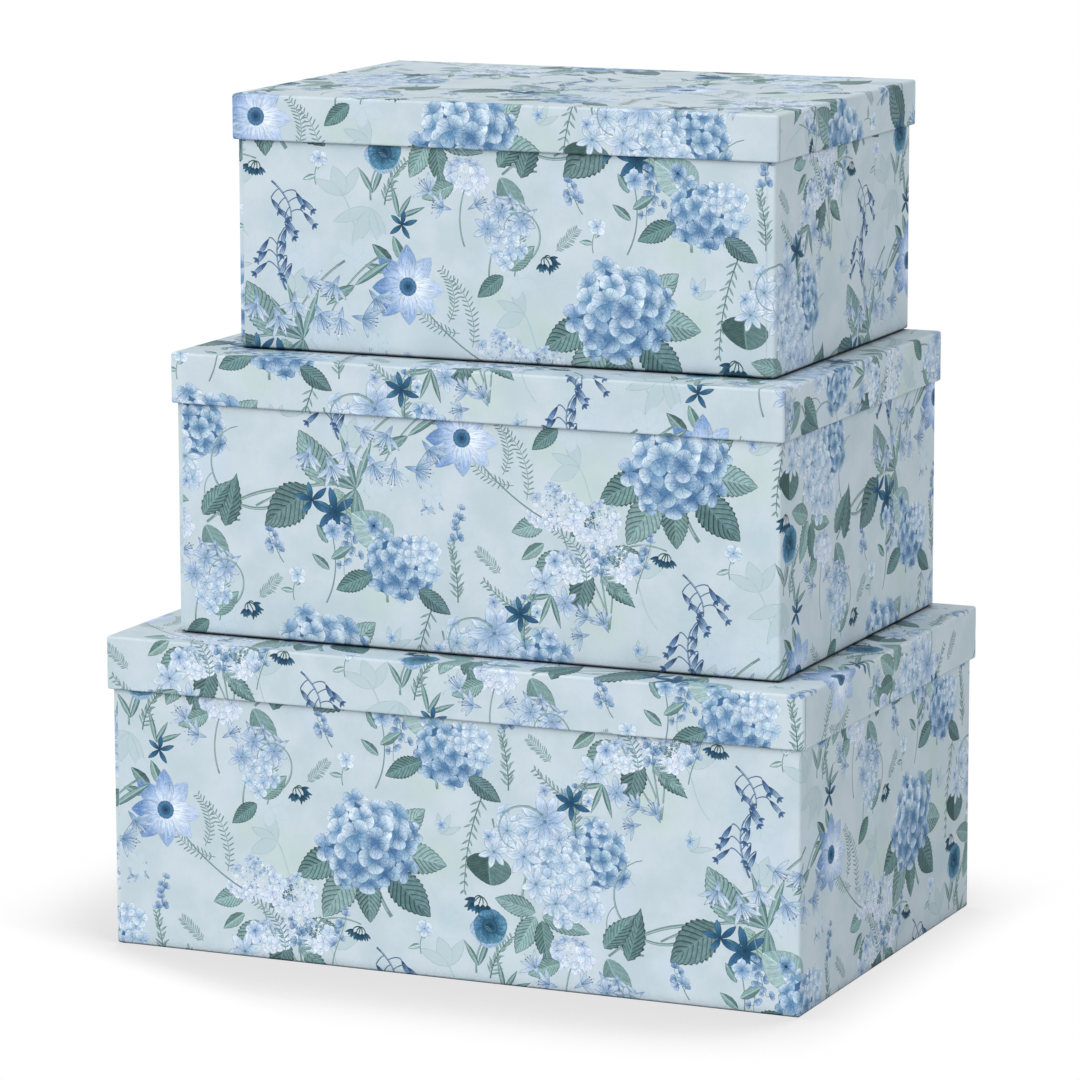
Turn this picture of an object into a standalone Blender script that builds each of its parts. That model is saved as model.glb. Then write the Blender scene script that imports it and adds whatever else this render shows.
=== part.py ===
"""
Nesting set of three rigid paperboard storage boxes (hat boxes) with lift-off
lids, stacked large, medium, small.

Each box is a set-up box: a folded greyboard tray whose four corners are held by
paper stay tape. A printed strip wraps its walls, turns in over the rim and turns
under the base, where a printed base sheet covers the turned edge. The inside is
lined with plain paper. The lid is a shallower folded board, taped the same way
and covered by one printed sheet; it slips over the tray.

Units are metres, +Z is up, the front of the stack faces -Y. The origin is the
centre of the large box's base, on the ground.
"""
import math

import bmesh
import bpy
from mathutils import Vector

# ---------------------------------------------------------------- dimensions
# Sheet stock
WRAP = 0.00018            # printed wrap paper
LINING = 0.00018          # plain lining paper
STAY = 0.00012            # gummed stay tape on the corners
GLUE = 0.00005            # glue line between two layers
BASE_SHEET = 0.00018      # printed sheet glued under the base
TRAY_BOARD = 0.0020       # greyboard of the trays
LID_BOARD = 0.0015        # greyboard of the lids

# Rounded folds. Outer radii; every layer below follows concentrically.
CORNER_R = 0.0015         # upright corners
EDGE_R = 0.0015           # edges of the base and of the lid top
RIM_R = 0.0010            # outer fold where the wrap turns in over a rim
CORNER_STEPS = 3
EDGE_STEPS = 2

# Corners seen in plan that don't follow the outside
INSIDE_R = 0.0005         # inside of the board, paper glued there or under the base
PANEL_R = 0.0010          # paper panel inside the lid
LEAST_R = 0.0002          # no corner is sharper than this

# How the paper is made up
TURN_IN = 0.018           # wrap folded over the rim and glued inside the tray
LID_TURN_IN = 0.015       # the same inside the lid
TURN_UNDER = 0.015        # wrap folded under the tray's base
BASE_MARGIN = 0.0030      # the base sheet stops this far from the walls
LINING_DROP = 0.007       # lining starts this far below the tray's rim
PANEL_MARGIN = 0.0012     # gap round the paper panel glued inside the lid
STAY_LEG = 0.020          # reach of the tape along each wall, from the corner
STAY_END = 0.0030         # the tape stops this far from the top and the bottom

# How the pieces sit
SLIP = 0.0003             # play on each side between lid and tray
SEAT = 0.0003             # play between the tray's rim and the lid's inside
REST = 0.0003             # gap between a lid and the box that stands on it

# Depths below the outside of the wrap
BOARD_INSET = WRAP + GLUE + STAY + GLUE               # outside of the board
TRAY_INSIDE = BOARD_INSET + TRAY_BOARD + GLUE         # paper on the tray's inside
LID_INSIDE = BOARD_INSET + LID_BOARD + GLUE           # paper on the lid's inside

WRAP_LOW = BASE_SHEET + GLUE                          # underside of a tray's wrap

# Boxes from the bottom of the stack up.
# width, depth: outside of the lid. body: height of tray that shows below the
# lid. rim: height of the lid's rim. shift: x and y of the box's centre, from
# the large box's. turn: about the upright axis. shade: of the printed paper.
BOXES = {
    "large":  dict(width=0.4000, depth=0.2630, body=0.1406, rim=0.0289,
                   shift=(0.0, 0.0), turn=0.0, shade=0.96),
    "medium": dict(width=0.3500, depth=0.2366, body=0.1245, rim=0.0272,
                   shift=(0.0046, 0.0089), turn=0.0, shade=1.0),
    "small":  dict(width=0.3100, depth=0.2096, body=0.1118, rim=0.0243,
                   shift=(0.0087, 0.0229), turn=math.radians(0.5), shade=1.04),
}

# Corner name, side in x, side in y
CORNERS = (("front_left", -1, -1), ("front_right", 1, -1),
           ("back_left", -1, 1), ("back_right", 1, 1))

SHARP_ANGLE = math.radians(35)    # edges bent more than this shade sharp
CARRIER_SIZE = 0.03               # drawn size of a carrier empty

# ----------------------------------------------------------------- materials
# Name: colour (red, green, blue), roughness
FINISHES = {
    "printed_wrap":   ((0.62, 0.74, 0.78), 0.55),
    "lining_paper":   ((0.78, 0.78, 0.75), 0.85),
    "greyboard":      ((0.36, 0.34, 0.31), 0.95),
    "stay_tape":      ((0.62, 0.53, 0.42), 0.80),
}


def finish(name, shade=1.0):
    """Principled material; shade separates the papers of the three boxes."""
    label = name if shade == 1.0 else "%s_%02d" % (name, round(shade * 100))
    material = bpy.data.materials.get(label)
    if material is None:
        colour, roughness = FINISHES[name]
        shaded = (*(channel * shade for channel in colour), 1.0)
        material = bpy.data.materials.new(label)
        material.use_nodes = True
        inputs = material.node_tree.nodes["Principled BSDF"].inputs
        inputs["Base Color"].default_value = shaded
        inputs["Roughness"].default_value = roughness
        inputs["Metallic"].default_value = 0.0
        material.diffuse_color = shaded
    return material


# ------------------------------------------------------------------- modelling
def add_solid(name, bm, material, smooth=False):
    """Turn a closed bmesh into an object in the scene."""
    bmesh.ops.recalc_face_normals(bm, faces=bm.faces)
    mesh = bpy.data.meshes.new(name)
    bm.to_mesh(mesh)
    bm.free()
    if smooth:
        mesh.shade_smooth()
        mesh.set_sharp_from_angle(angle=SHARP_ANGLE)
    mesh.materials.append(material)
    solid = bpy.data.objects.new(name, mesh)
    bpy.context.scene.collection.objects.link(solid)
    return solid


def corner_arc(centre_x, centre_y, radius, start=0):
    """Points of a quarter circle, counter-clockwise from start degrees."""
    points = []
    for step in range(CORNER_STEPS + 1):
        angle = math.radians(start + 90.0 * step / CORNER_STEPS)
        points.append((centre_x + radius * math.cos(angle),
                       centre_y + radius * math.sin(angle)))
    return points


def rounded_rectangle(half_x, half_y, radius):
    """Points of a rectangle with rounded corners, counter-clockwise."""
    radius = max(radius, LEAST_R)
    points = []
    for side_x, side_y, start in ((1, 1, 0), (-1, 1, 90), (-1, -1, 180), (1, -1, 270)):
        points += corner_arc(side_x * (half_x - radius), side_y * (half_y - radius),
                             radius, start)
    return points


def skin(name, rings, half_x, half_y, material, band=False):
    """Closed solid through a stack of rounded rectangles.

    Each ring is (inset, corner radius, z), and the stack may fold back inside
    itself. The first and the last ring are closed by a flat face each, or for
    a band, which is open in the middle, joined to one another.
    """
    bm = bmesh.new()
    loops = []
    for inset, radius, z in rings:
        outline = rounded_rectangle(half_x - inset, half_y - inset, radius)
        loops.append([bm.verts.new((x, y, z)) for x, y in outline])
    following = loops[1:] + loops[:1] if band else loops[1:]
    for loop, after in zip(loops, following):
        for i in range(len(loop)):
            j = (i + 1) % len(loop)
            bm.faces.new((loop[i], loop[j], after[j], after[i]))
    if not band:
        bm.faces.new(list(reversed(loops[0])))
        bm.faces.new(loops[-1])
    return add_solid(name, bm, material, smooth=True)


# ----------------------------------------------------------- rings of a section
# A lid's rings are worked out as for a tray, open upwards, and then turned over.
def fold(layer, radius, centre_z, start, stop):
    """Rings round a folded edge: a quarter circle seen in section.

    Angles run from straight outwards (0) to straight up (90) or down (-90).
    layer is how far the folded face lies inside the box's outside face.
    Returns (inset, z) pairs, with the inset measured from that outside face.
    """
    rings = []
    for step in range(EDGE_STEPS + 1):
        angle = math.radians(start + (stop - start) * step / EDGE_STEPS)
        rings.append((layer + radius * (1.0 - math.cos(angle)),
                      centre_z + radius * math.sin(angle)))
    return rings


def outer_rings(layer, height, low=0.0):
    """Outer skin of an open tray, from under the base up to over the rim.

    layer is how far this skin lies inside the wrap's outside face, and low is
    the height of the wrap's underside.
    """
    edge = EDGE_R - layer
    rim = RIM_R - layer
    corner = CORNER_R - layer
    section = (fold(layer, edge, low + layer + edge, -90, 0)
               + fold(layer, rim, height - layer - rim, 0, 90))
    return [(inset, corner - (inset - layer), z) for inset, z in section]


def board_rings(height, thickness, low=0.0):
    """Folded greyboard: base panel and four walls."""
    inner = BOARD_INSET + thickness
    return outer_rings(BOARD_INSET, height, low) + [
        (inner, INSIDE_R, height - BOARD_INSET),
        (inner, INSIDE_R, low + inner)]


def wrap_rings(height, inside, turn_in, low=0.0):
    """Wrap up the outside, over the rim, turned in, and back along its glued face.

    inside is the depth of the glued face of the turned-in paper.
    """
    turned_in = [(inside + WRAP, INSIDE_R, height),
                 (inside + WRAP, INSIDE_R, height - turn_in),
                 (inside, INSIDE_R, height - turn_in),
                 (inside, INSIDE_R, height - WRAP)]
    return (outer_rings(0.0, height, low) + turned_in
            + outer_rings(WRAP, height, low)[::-1])


def turned_over(rings, height):
    """Turn a tray's rings upside down for a lid."""
    return [(inset, radius, height - z) for inset, radius, z in rings]


# ----------------------------------------------------------------- tray pieces
def tray_board(name, half_x, half_y, height, material):
    """Greyboard tray, open upwards."""
    rings = board_rings(height, TRAY_BOARD, WRAP_LOW)
    return skin(name, rings, half_x, half_y, material)


def tray_wrap(name, half_x, half_y, height, material):
    """Printed strip: round the walls, turned in at the rim and under the base."""
    rings = [(TURN_UNDER, INSIDE_R, WRAP_LOW),
             *wrap_rings(height, TRAY_INSIDE, TURN_IN, WRAP_LOW),
             (TURN_UNDER, INSIDE_R, WRAP_LOW + WRAP)]
    return skin(name, rings, half_x, half_y, material, band=True)


def base_sheet(name, half_x, half_y, material):
    """Printed sheet glued under the base, over the turned-under strip."""
    rings = [(BASE_MARGIN, INSIDE_R, 0.0), (BASE_MARGIN, INSIDE_R, BASE_SHEET)]
    return skin(name, rings, half_x, half_y, material)


def tray_lining(name, half_x, half_y, height, material):
    """Plain paper on the tray's floor and walls, over the turned-in wrap."""
    outer = TRAY_INSIDE + WRAP + GLUE
    floor = WRAP_LOW + TRAY_INSIDE
    top = height - LINING_DROP
    rings = [(outer, INSIDE_R, floor),
             (outer, INSIDE_R, top),
             (outer + LINING, INSIDE_R, top),
             (outer + LINING, INSIDE_R, floor + LINING)]
    return skin(name, rings, half_x, half_y, material)


# ------------------------------------------------------------------ lid pieces
def lid_board(name, half_x, half_y, height, material):
    """Greyboard lid, open downwards."""
    rings = turned_over(board_rings(height, LID_BOARD), height)
    return skin(name, rings, half_x, half_y, material)


def lid_wrap(name, half_x, half_y, height, material):
    """Printed sheet: lid top, rims, over their lower edge and turned in."""
    rings = turned_over(wrap_rings(height, LID_INSIDE, LID_TURN_IN), height)
    return skin(name, rings, half_x, half_y, material)


def lid_lining(name, half_x, half_y, height, material):
    """Plain paper panel glued under the lid's top board."""
    inset = LID_INSIDE + WRAP + PANEL_MARGIN
    top = height - LID_INSIDE
    rings = [(inset, PANEL_R, top - LINING), (inset, PANEL_R, top)]
    return skin(name, rings, half_x, half_y, material)


# ------------------------------------------------------------------- stay tape
def stay_line(half_x, half_y, inset):
    """One face of the tape in plan, round the corner at +X +Y."""
    radius = CORNER_R - inset
    face_x, face_y = half_x - inset, half_y - inset
    return [(face_x, half_y - STAY_LEG),
            *corner_arc(face_x - radius, face_y - radius, radius),
            (half_x - STAY_LEG, face_y)]


def stay(name, half_x, half_y, side_x, side_y, height, material):
    """L of gummed tape folded round one upright corner of the board."""
    outer_inset = WRAP + GLUE
    outline = (stay_line(half_x, half_y, outer_inset)
               + stay_line(half_x, half_y, outer_inset + STAY)[::-1])
    bm = bmesh.new()
    bottom, top = [
        [bm.verts.new((side_x * x, side_y * y, z)) for x, y in outline]
        for z in (STAY_END, height - STAY_END)]
    count = len(outline)
    for i in range(count):
        j = (i + 1) % count
        bm.faces.new((bottom[i], bottom[j], top[j], top[i]))
    # Each end is a strip of quads between the outer and the inner line.
    for i in range(count // 2 - 1):
        for end in (bottom, top):
            bm.faces.new((end[i], end[i + 1], end[-i - 2], end[-i - 1]))
    return add_solid(name, bm, material)


def stays(prefix, half_x, half_y, height):
    """Stay tape on all four corners of a tray or a lid."""
    tape = finish("stay_tape")
    return [stay("%s_stay_%s" % (prefix, corner), half_x, half_y,
                 side_x, side_y, height, tape)
            for corner, side_x, side_y in CORNERS]


# -------------------------------------------------------------------- assembly
def carry(name, location, turn, pieces):
    """Parent pieces to an empty on the line along which they lift."""
    carrier = bpy.data.objects.new(name, None)
    carrier.empty_display_size = CARRIER_SIZE
    carrier.location = location
    carrier.rotation_euler = (0.0, 0.0, turn)
    bpy.context.scene.collection.objects.link(carrier)
    for piece in pieces:
        piece.parent = carrier


def build_tray(prefix, half_x, half_y, height, paper):
    """Pieces of a tray, with z = 0 under its base."""
    return [
        tray_board(prefix + "_board", half_x, half_y, height, finish("greyboard")),
        tray_wrap(prefix + "_wrap", half_x, half_y, height, paper),
        base_sheet(prefix + "_base_sheet", half_x, half_y, paper),
        tray_lining(prefix + "_lining", half_x, half_y, height,
                    finish("lining_paper")),
        *stays(prefix, half_x, half_y, height),
    ]


def build_lid(prefix, half_x, half_y, height, paper):
    """Pieces of a lid, with z = 0 at the lower edge of its rim."""
    return [
        lid_board(prefix + "_board", half_x, half_y, height, finish("greyboard")),
        lid_wrap(prefix + "_wrap", half_x, half_y, height, paper),
        lid_lining(prefix + "_lining", half_x, half_y, height,
                   finish("lining_paper")),
        *stays(prefix, half_x, half_y, height),
    ]


def build_box(size, spec, base_z):
    """One box at base_z; returns the height of its lid's top."""
    body, rim = spec["body"], spec["rim"]
    lid_x, lid_y = spec["width"] / 2, spec["depth"] / 2
    overhang = LID_INSIDE + WRAP + SLIP
    tray_height = body + rim - (LID_INSIDE + LINING + SEAT)
    base = Vector((*spec["shift"], base_z))
    paper = finish("printed_wrap", spec["shade"])

    tray = build_tray(size + "_tray", lid_x - overhang, lid_y - overhang,
                      tray_height, paper)
    carry(size + "_tray_carrier", base, spec["turn"], tray)

    lid = build_lid(size + "_lid", lid_x, lid_y, rim, paper)
    carry(size + "_lid_carrier", base + Vector((0, 0, body)), spec["turn"], lid)
    return base_z + body + rim


def main():
    for obj in list(bpy.data.objects):
        bpy.data.objects.remove(obj, do_unlink=True)
    base_z = 0.0
    for size, spec in BOXES.items():
        base_z = build_box(size, spec, base_z) + REST


main()
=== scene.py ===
import math
import random
from collections import namedtuple

import bpy
import numpy as np
from mathutils import Matrix, Vector
from mathutils.geometry import delaunay_2d_cdt


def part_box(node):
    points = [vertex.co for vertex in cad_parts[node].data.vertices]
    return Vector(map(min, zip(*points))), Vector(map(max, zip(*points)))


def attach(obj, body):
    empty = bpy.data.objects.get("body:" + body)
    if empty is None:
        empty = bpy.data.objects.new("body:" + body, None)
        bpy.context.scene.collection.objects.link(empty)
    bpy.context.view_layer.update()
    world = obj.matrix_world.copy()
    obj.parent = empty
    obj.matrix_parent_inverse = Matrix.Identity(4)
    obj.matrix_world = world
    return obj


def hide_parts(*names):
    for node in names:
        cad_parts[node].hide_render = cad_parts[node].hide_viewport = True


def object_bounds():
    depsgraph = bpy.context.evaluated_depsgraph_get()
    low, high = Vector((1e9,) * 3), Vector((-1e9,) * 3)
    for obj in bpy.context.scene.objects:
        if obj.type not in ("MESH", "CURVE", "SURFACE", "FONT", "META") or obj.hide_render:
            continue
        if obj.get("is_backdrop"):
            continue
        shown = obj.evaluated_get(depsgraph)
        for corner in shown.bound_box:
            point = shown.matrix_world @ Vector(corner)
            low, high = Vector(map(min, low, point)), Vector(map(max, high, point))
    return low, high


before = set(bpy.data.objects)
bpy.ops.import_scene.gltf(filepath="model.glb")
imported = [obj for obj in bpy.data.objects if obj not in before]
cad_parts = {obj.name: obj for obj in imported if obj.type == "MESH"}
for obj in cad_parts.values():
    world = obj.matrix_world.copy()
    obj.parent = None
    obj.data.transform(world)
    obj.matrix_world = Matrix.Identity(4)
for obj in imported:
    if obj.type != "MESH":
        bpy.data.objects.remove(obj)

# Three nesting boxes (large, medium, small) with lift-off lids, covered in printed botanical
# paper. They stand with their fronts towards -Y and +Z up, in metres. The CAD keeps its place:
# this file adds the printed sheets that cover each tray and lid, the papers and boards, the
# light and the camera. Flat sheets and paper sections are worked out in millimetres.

CAD_LOW, CAD_HIGH = (tuple(float(c) for c in corner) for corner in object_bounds())

MM = 0.001
TURN = {"large": 0.0, "medium": 0.0, "small": math.radians(0.5)}     # each box about Z

# section of the papered edges, mm
CORNER_RADIUS = 1.5      # upright corners, seen from above
EDGE_RADIUS = 1.5        # tray bottom and lid top
RIM_RADIUS = 1.0         # outer edge of a rim
INNER_RADIUS = 0.4       # fold on the inner edge of a rim
TRAY_INSIDE = 2.63       # inset of the paper glued inside the tray
LID_INSIDE = 2.13
TURN_IN = 18.0
LID_TURN_IN = 15.0
TURN_UNDER = 15.0
UNDERSIDE = 0.23         # height of the turned-under paper above the box's base
CORNER_ARC = math.pi / 2 * CORNER_RADIUS

# ------------------------------------------------------------------ the print
# A botanical repeat: every flower, leaf and stem is drawn here by rule, in millimetres on the
# flat sheet, as polygons in drawing order. Each polygon also carries the local axes and the two
# inks that the paper's shader needs to draw its veins, streaks and outline.
# Headings are in degrees.

PLAIN, PETAL, LEAF, DISC, FLORET, GHOST, WASH, RIBBED, EDGE_CUT = range(9)
REPEAT_X, REPEAT_Y = 204.0, 232.0      # half-drop repeat
GOLDEN_ANGLE = 2.39996                 # radians between neighbours in a packed head

# inks, sRGB 0-255
GROUND = (196, 215, 221)
WHITE_LILAC = (225, 232, 240)
PALE_LILAC = (209, 219, 234)
PALE_BLUE = (199, 216, 230)
SOFT_BLUE = (174, 197, 218)
PERI = (150, 178, 208)
MID_BLUE = (128, 162, 198)
DENIM = (90, 134, 172)
DEEP_BLUE = (58, 102, 146)
TEAL = (44, 98, 124)
TEAL_LIGHT = (92, 148, 172)
NAVY = (34, 72, 104)
LINE_BLUE = (84, 112, 146)
SAGE_PALE = (176, 198, 198)
SAGE = (146, 174, 173)
SAGE_MID = (116, 146, 146)
LEAF_GREEN = (88, 119, 118)
LEAF_DARK = (56, 86, 84)
STEM = (120, 148, 148)
STEM_LIGHT = (170, 190, 188)

# inks: two linear colours in a row; form: length, half width, lean, power, bend, seed
Shape = namedtuple("Shape", "points kind inks origin axis form")
shapes = []                     # everything drawn so far, back to front
rng = random.Random(20417)      # drives every hand-drawn irregularity, in drawing order


def ink(r, g, b):
    """sRGB 0-255 to linear."""
    out = []
    for c in (r, g, b):
        c = max(0.0, min(255.0, c)) / 255.0
        out.append(c / 12.92 if c <= 0.04045 else ((c + 0.055) / 1.055) ** 2.4)
    return tuple(out)


def vary(rgb, amount):
    shift = rng.uniform(-amount, amount)
    return (rgb[0] + shift + rng.uniform(-2, 2), rgb[1] + shift + rng.uniform(-2, 2),
            rgb[2] + shift * 0.8 + rng.uniform(-2, 2))


def blend(first, second, t):
    return tuple(p + (q - p) * t for p, q in zip(first, second))


def between(first, second):
    """A random tone between two inks."""
    return blend(first, second, rng.random())


def polar(x, y, reach, heading):
    t = math.radians(heading)
    return x + reach * math.cos(t), y + reach * math.sin(t)


def each(draw, *specs):
    for spec in specs:
        draw(*spec)


def add(points, kind, base, tip, origin, axis=(1, 0), length=10, half=10,
        form=(1.0, 1.0, 0.0), seed=0.0):
    shapes.append(Shape(np.asarray(points, float), kind, ink(*base) + ink(*tip), tuple(origin),
                        axis, (max(length, 0.05), max(half, 0.05), *form, seed)))


def blade(x, y, heading, length, width, kind, base, tip, lean=1.0, power=0.8, bend=0.0, n=8,
          teeth=0, tooth=0.10, seed=None):
    """A petal or a leaf growing from (x, y); its half width is sin(pi u^lean)^power."""
    if seed is None:
        seed = rng.random()
    t = math.radians(heading)
    axis = (math.cos(t), math.sin(t))
    half = width / 2.0
    if teeth:
        k = np.arange(2 * teeth + 1)
        u = (k / (2.0 * teeth)) ** 0.92
        saw = np.where(k % 2 == 1, 1.0 + tooth, 1.0 - tooth * 0.35)
        saw[0] = saw[-1] = 1.0
        u = np.where(k % 2 == 1, np.minimum(u + 0.35 / teeth * 0.5, 0.995), u)
    else:
        u = (1 - np.cos(np.pi * np.linspace(0, 1, n + 1))) / 2
        saw = np.ones(n + 1)
    w = np.sin(np.pi * np.clip(u, 0, 1) ** lean) ** power * saw
    middle = bend * u * u
    upper = np.stack([u * length, (middle + w) * half], 1)
    lower = np.stack([u * length, (middle - w) * half], 1)[::-1]
    points = np.concatenate([upper[:-1], lower[:-1]])
    px = x + points[:, 0] * axis[0] - points[:, 1] * axis[1]
    py = y + points[:, 0] * axis[1] + points[:, 1] * axis[0]
    add(np.stack([px, py], 1), kind, base, tip, (x, y), axis, length, half,
        (lean, power, bend), seed)


def bezier(p0, p1, p2, p3, n=10):
    s = np.linspace(0, 1, n + 1)[:, None]
    p0, p1, p2, p3 = (np.array(p, float) for p in (p0, p1, p2, p3))
    return ((1 - s) ** 3 * p0 + 3 * (1 - s) ** 2 * s * p1 + 3 * (1 - s) * s * s * p2
            + s ** 3 * p3)


def stroke(line, width0, width1, colour, light=None):
    """A tapering line; a broad one may carry a light streak."""
    line = np.asarray(line, float)
    tangent = np.gradient(line, axis=0)
    tangent /= np.maximum(np.linalg.norm(tangent, axis=1), 1e-9)[:, None]
    normal = np.stack([-tangent[:, 1], tangent[:, 0]], 1)
    half = np.linspace(width0, width1, len(line))[:, None] / 2
    points = np.concatenate([line + normal * half, (line - normal * half)[::-1]])
    add(points, PLAIN, colour, colour, line[0])
    if light is not None and width0 > 0.9:
        streak = line + normal * half * 0.25
        side = normal * (half * 0.28)
        points = np.concatenate([streak[1:-1] + side[1:-1], (streak - side)[1:-1][::-1]])
        add(points, PLAIN, light, light, line[0])


def ring(x, y, radius, n, wobble=0.0, squash=1.0, heading=0.0):
    th = np.linspace(0, 2 * np.pi, n, endpoint=False)
    radii = np.full(n, float(radius))
    if wobble:
        radii *= 1 + wobble * np.array([rng.uniform(-1, 1) for _ in range(n)])
    px, py = radii * np.cos(th), radii * np.sin(th) * squash
    t = math.radians(heading)
    return np.stack([x + px * math.cos(t) - py * math.sin(t),
                     y + px * math.sin(t) + py * math.cos(t)], 1)


def disc(x, y, radius, inner, outer, n, squash=1.0, heading=0.0):
    t = math.radians(heading)
    add(ring(x, y, radius, n, squash=squash, heading=heading), DISC, inner, outer, (x, y),
        (math.cos(t), math.sin(t)), radius, radius * squash, seed=rng.random())


def dot(x, y, radius, colour, n=6):
    add(ring(x, y, radius, n), PLAIN, colour, colour, (x, y), (1, 0), radius, radius)


# --- leaves

def smooth_leaf(x, y, heading, length, width, bend, light=False):
    blade(x, y, heading, length, width, LEAF, vary(SAGE if light else SAGE_MID, 6),
          vary(SAGE_PALE if light else SAGE, 6), 0.86, 0.72, bend, n=12)


def ribbed_leaf(x, y, heading, length, width, dark=False, bend=0.2):
    blade(x, y, heading, length, width, RIBBED, vary(LEAF_DARK if dark else LEAF_GREEN, 8),
          vary(SAGE_MID if dark else SAGE, 8), 0.84, 0.85, bend, teeth=11, tooth=0.09)


def hanging_leaf(x, y, heading, length, width, bend=0.2):
    blade(x, y, heading, length, width, RIBBED, vary(LEAF_DARK, 8), vary(SAGE_MID, 8),
          0.72, 1.05, bend, teeth=9, tooth=0.16)


def small_leaf(x, y, heading, length, width, base=LEAF_GREEN, tip=SAGE):
    blade(x, y, heading, length, width, LEAF, vary(base, 10), vary(tip, 8),
          0.85, 0.9, 0.2, n=6)


def straps(x, y, headings, length, width):
    for heading in headings:
        blade(x, y, heading + rng.uniform(-5, 5), length * rng.uniform(0.8, 1.15), width, LEAF,
              vary(LEAF_GREEN, 10), vary(SAGE, 8), 0.8, 0.9, rng.uniform(-1.2, 1.2))


# --- flowers

def bloom(x, y, radius, heading, n, base, tip, squash=1.0, tilt=0.0, width=1.0,
          form=(1.3, 0.5), eye=None, points=6):
    """n separate petals round a point, foreshortened along tilt."""
    k = math.radians(tilt)
    ex, ey = math.cos(k), math.sin(k)

    def flat(vx, vy):
        along = vx * ex + vy * ey
        return vx + (squash - 1) * along * ex, vy + (squash - 1) * along * ey

    order = list(range(n))
    rng.shuffle(order)
    for i in order:
        t = math.radians(heading + i * 360 / n + rng.uniform(-7, 7))
        dx, dy = flat(math.cos(t), math.sin(t))
        wx, wy = flat(-math.sin(t), math.cos(t))
        size = math.hypot(dx, dy)
        wide = abs(dx * wy - dy * wx) / max(size, 0.2)
        tone = rng.uniform(-0.42, 0.30)
        inner = blend(base, tip, max(0.0, tone))
        outer = blend(tip, base, max(0.0, -tone) * 1.2)
        blade(x, y, math.degrees(math.atan2(dy, dx)), radius * size * rng.uniform(0.9, 1.06),
              radius * wide * width, PETAL, vary(inner, 4), vary(outer, 4), form[0], form[1],
              rng.uniform(-0.12, 0.12), n=points)
    if eye is not None:
        dot(x, y, max(radius * 0.09, 0.35), eye)


def hydrangea(x, y, radius, pale=False, size=9.4):
    """Mophead: broad four-petalled florets packed over a dome, deep blue in the gaps."""
    squash = 0.9
    gap = blend(MID_BLUE, DENIM, 0.4) if pale else blend(DEEP_BLUE, MID_BLUE, 0.12)
    add(ring(x, y, radius * 0.86, 22, 0.10, squash), PLAIN, gap, gap, (x, y), (1, 0),
        radius, radius, seed=rng.random())
    lit = math.radians(rng.uniform(100, 140))
    spots = []
    count = int(2.65 * radius * radius * squash / (size * size))
    for i in range(count):
        out = math.sqrt((i + 0.6) / count) * 0.98
        angle = i * GOLDEN_ANGLE + rng.uniform(-0.16, 0.16)
        spots.append((out + rng.uniform(-0.16, 0.16), out, angle))
    spots.sort(reverse=True)            # the rim first, the crown last
    for _, out, angle in spots:
        px = x + radius * out * math.cos(angle)
        py = y + radius * out * math.sin(angle) * squash
        side = out * math.cos(angle - lit)
        t = min(max(0.40 - 0.42 * side + rng.uniform(-0.20, 0.20), 0.0), 1.0)
        if pale:
            tip = blend(WHITE_LILAC, PALE_BLUE, t)
            base = blend(blend(SOFT_BLUE, MID_BLUE, 0.4), DENIM, t * 0.8)
        else:
            tip = blend((222, 231, 239), (168, 194, 216), t)
            base = blend((112, 154, 190), DEEP_BLUE, t * 0.8)
        bloom(px, py, size * rng.uniform(0.82, 1.04), rng.uniform(0, 90), 4, base, tip,
              squash=max(0.42, 1.0 - 0.55 * out * out), tilt=math.degrees(angle),
              width=rng.uniform(1.02, 1.14), form=(1.42, 0.46))
        if out < 0.8 and rng.random() < 0.7:
            dot(px, py, 0.5, blend(base, DEEP_BLUE, 0.6), n=5)


def loose_florets(x, y, radius, count, size=(6.0, 8.5)):
    """Large pale four-petalled florets, loosely gathered."""
    for i in range(count):
        out = math.sqrt((i + 0.5) / count)
        heading = math.degrees(i * GOLDEN_ANGLE) + rng.uniform(-14, 14)
        px, py = polar(x, y, out * radius, heading)
        t = rng.random()
        bloom(px, py, rng.uniform(*size), rng.uniform(0, 90), rng.choice((4, 4, 5)),
              blend(SOFT_BLUE, PERI, t * 0.6), blend(WHITE_LILAC, PALE_BLUE, t * 0.8),
              squash=rng.uniform(0.6, 0.95), tilt=heading, width=1.04, form=(1.38, 0.48),
              eye=blend(PERI, DENIM, t))


def spark(x, y, radius, colour, n):
    """Tiny star of stamens."""
    th = np.linspace(0, 2 * np.pi, 2 * n, endpoint=False) + rng.uniform(0, 1)
    radii = np.where(np.arange(2 * n) % 2 == 0, radius, radius * 0.30)
    add(np.stack([x + radii * np.cos(th), y + radii * np.sin(th)], 1), PLAIN, colour, colour,
        (x, y), (1, 0), radius, radius, seed=rng.random())


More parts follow.
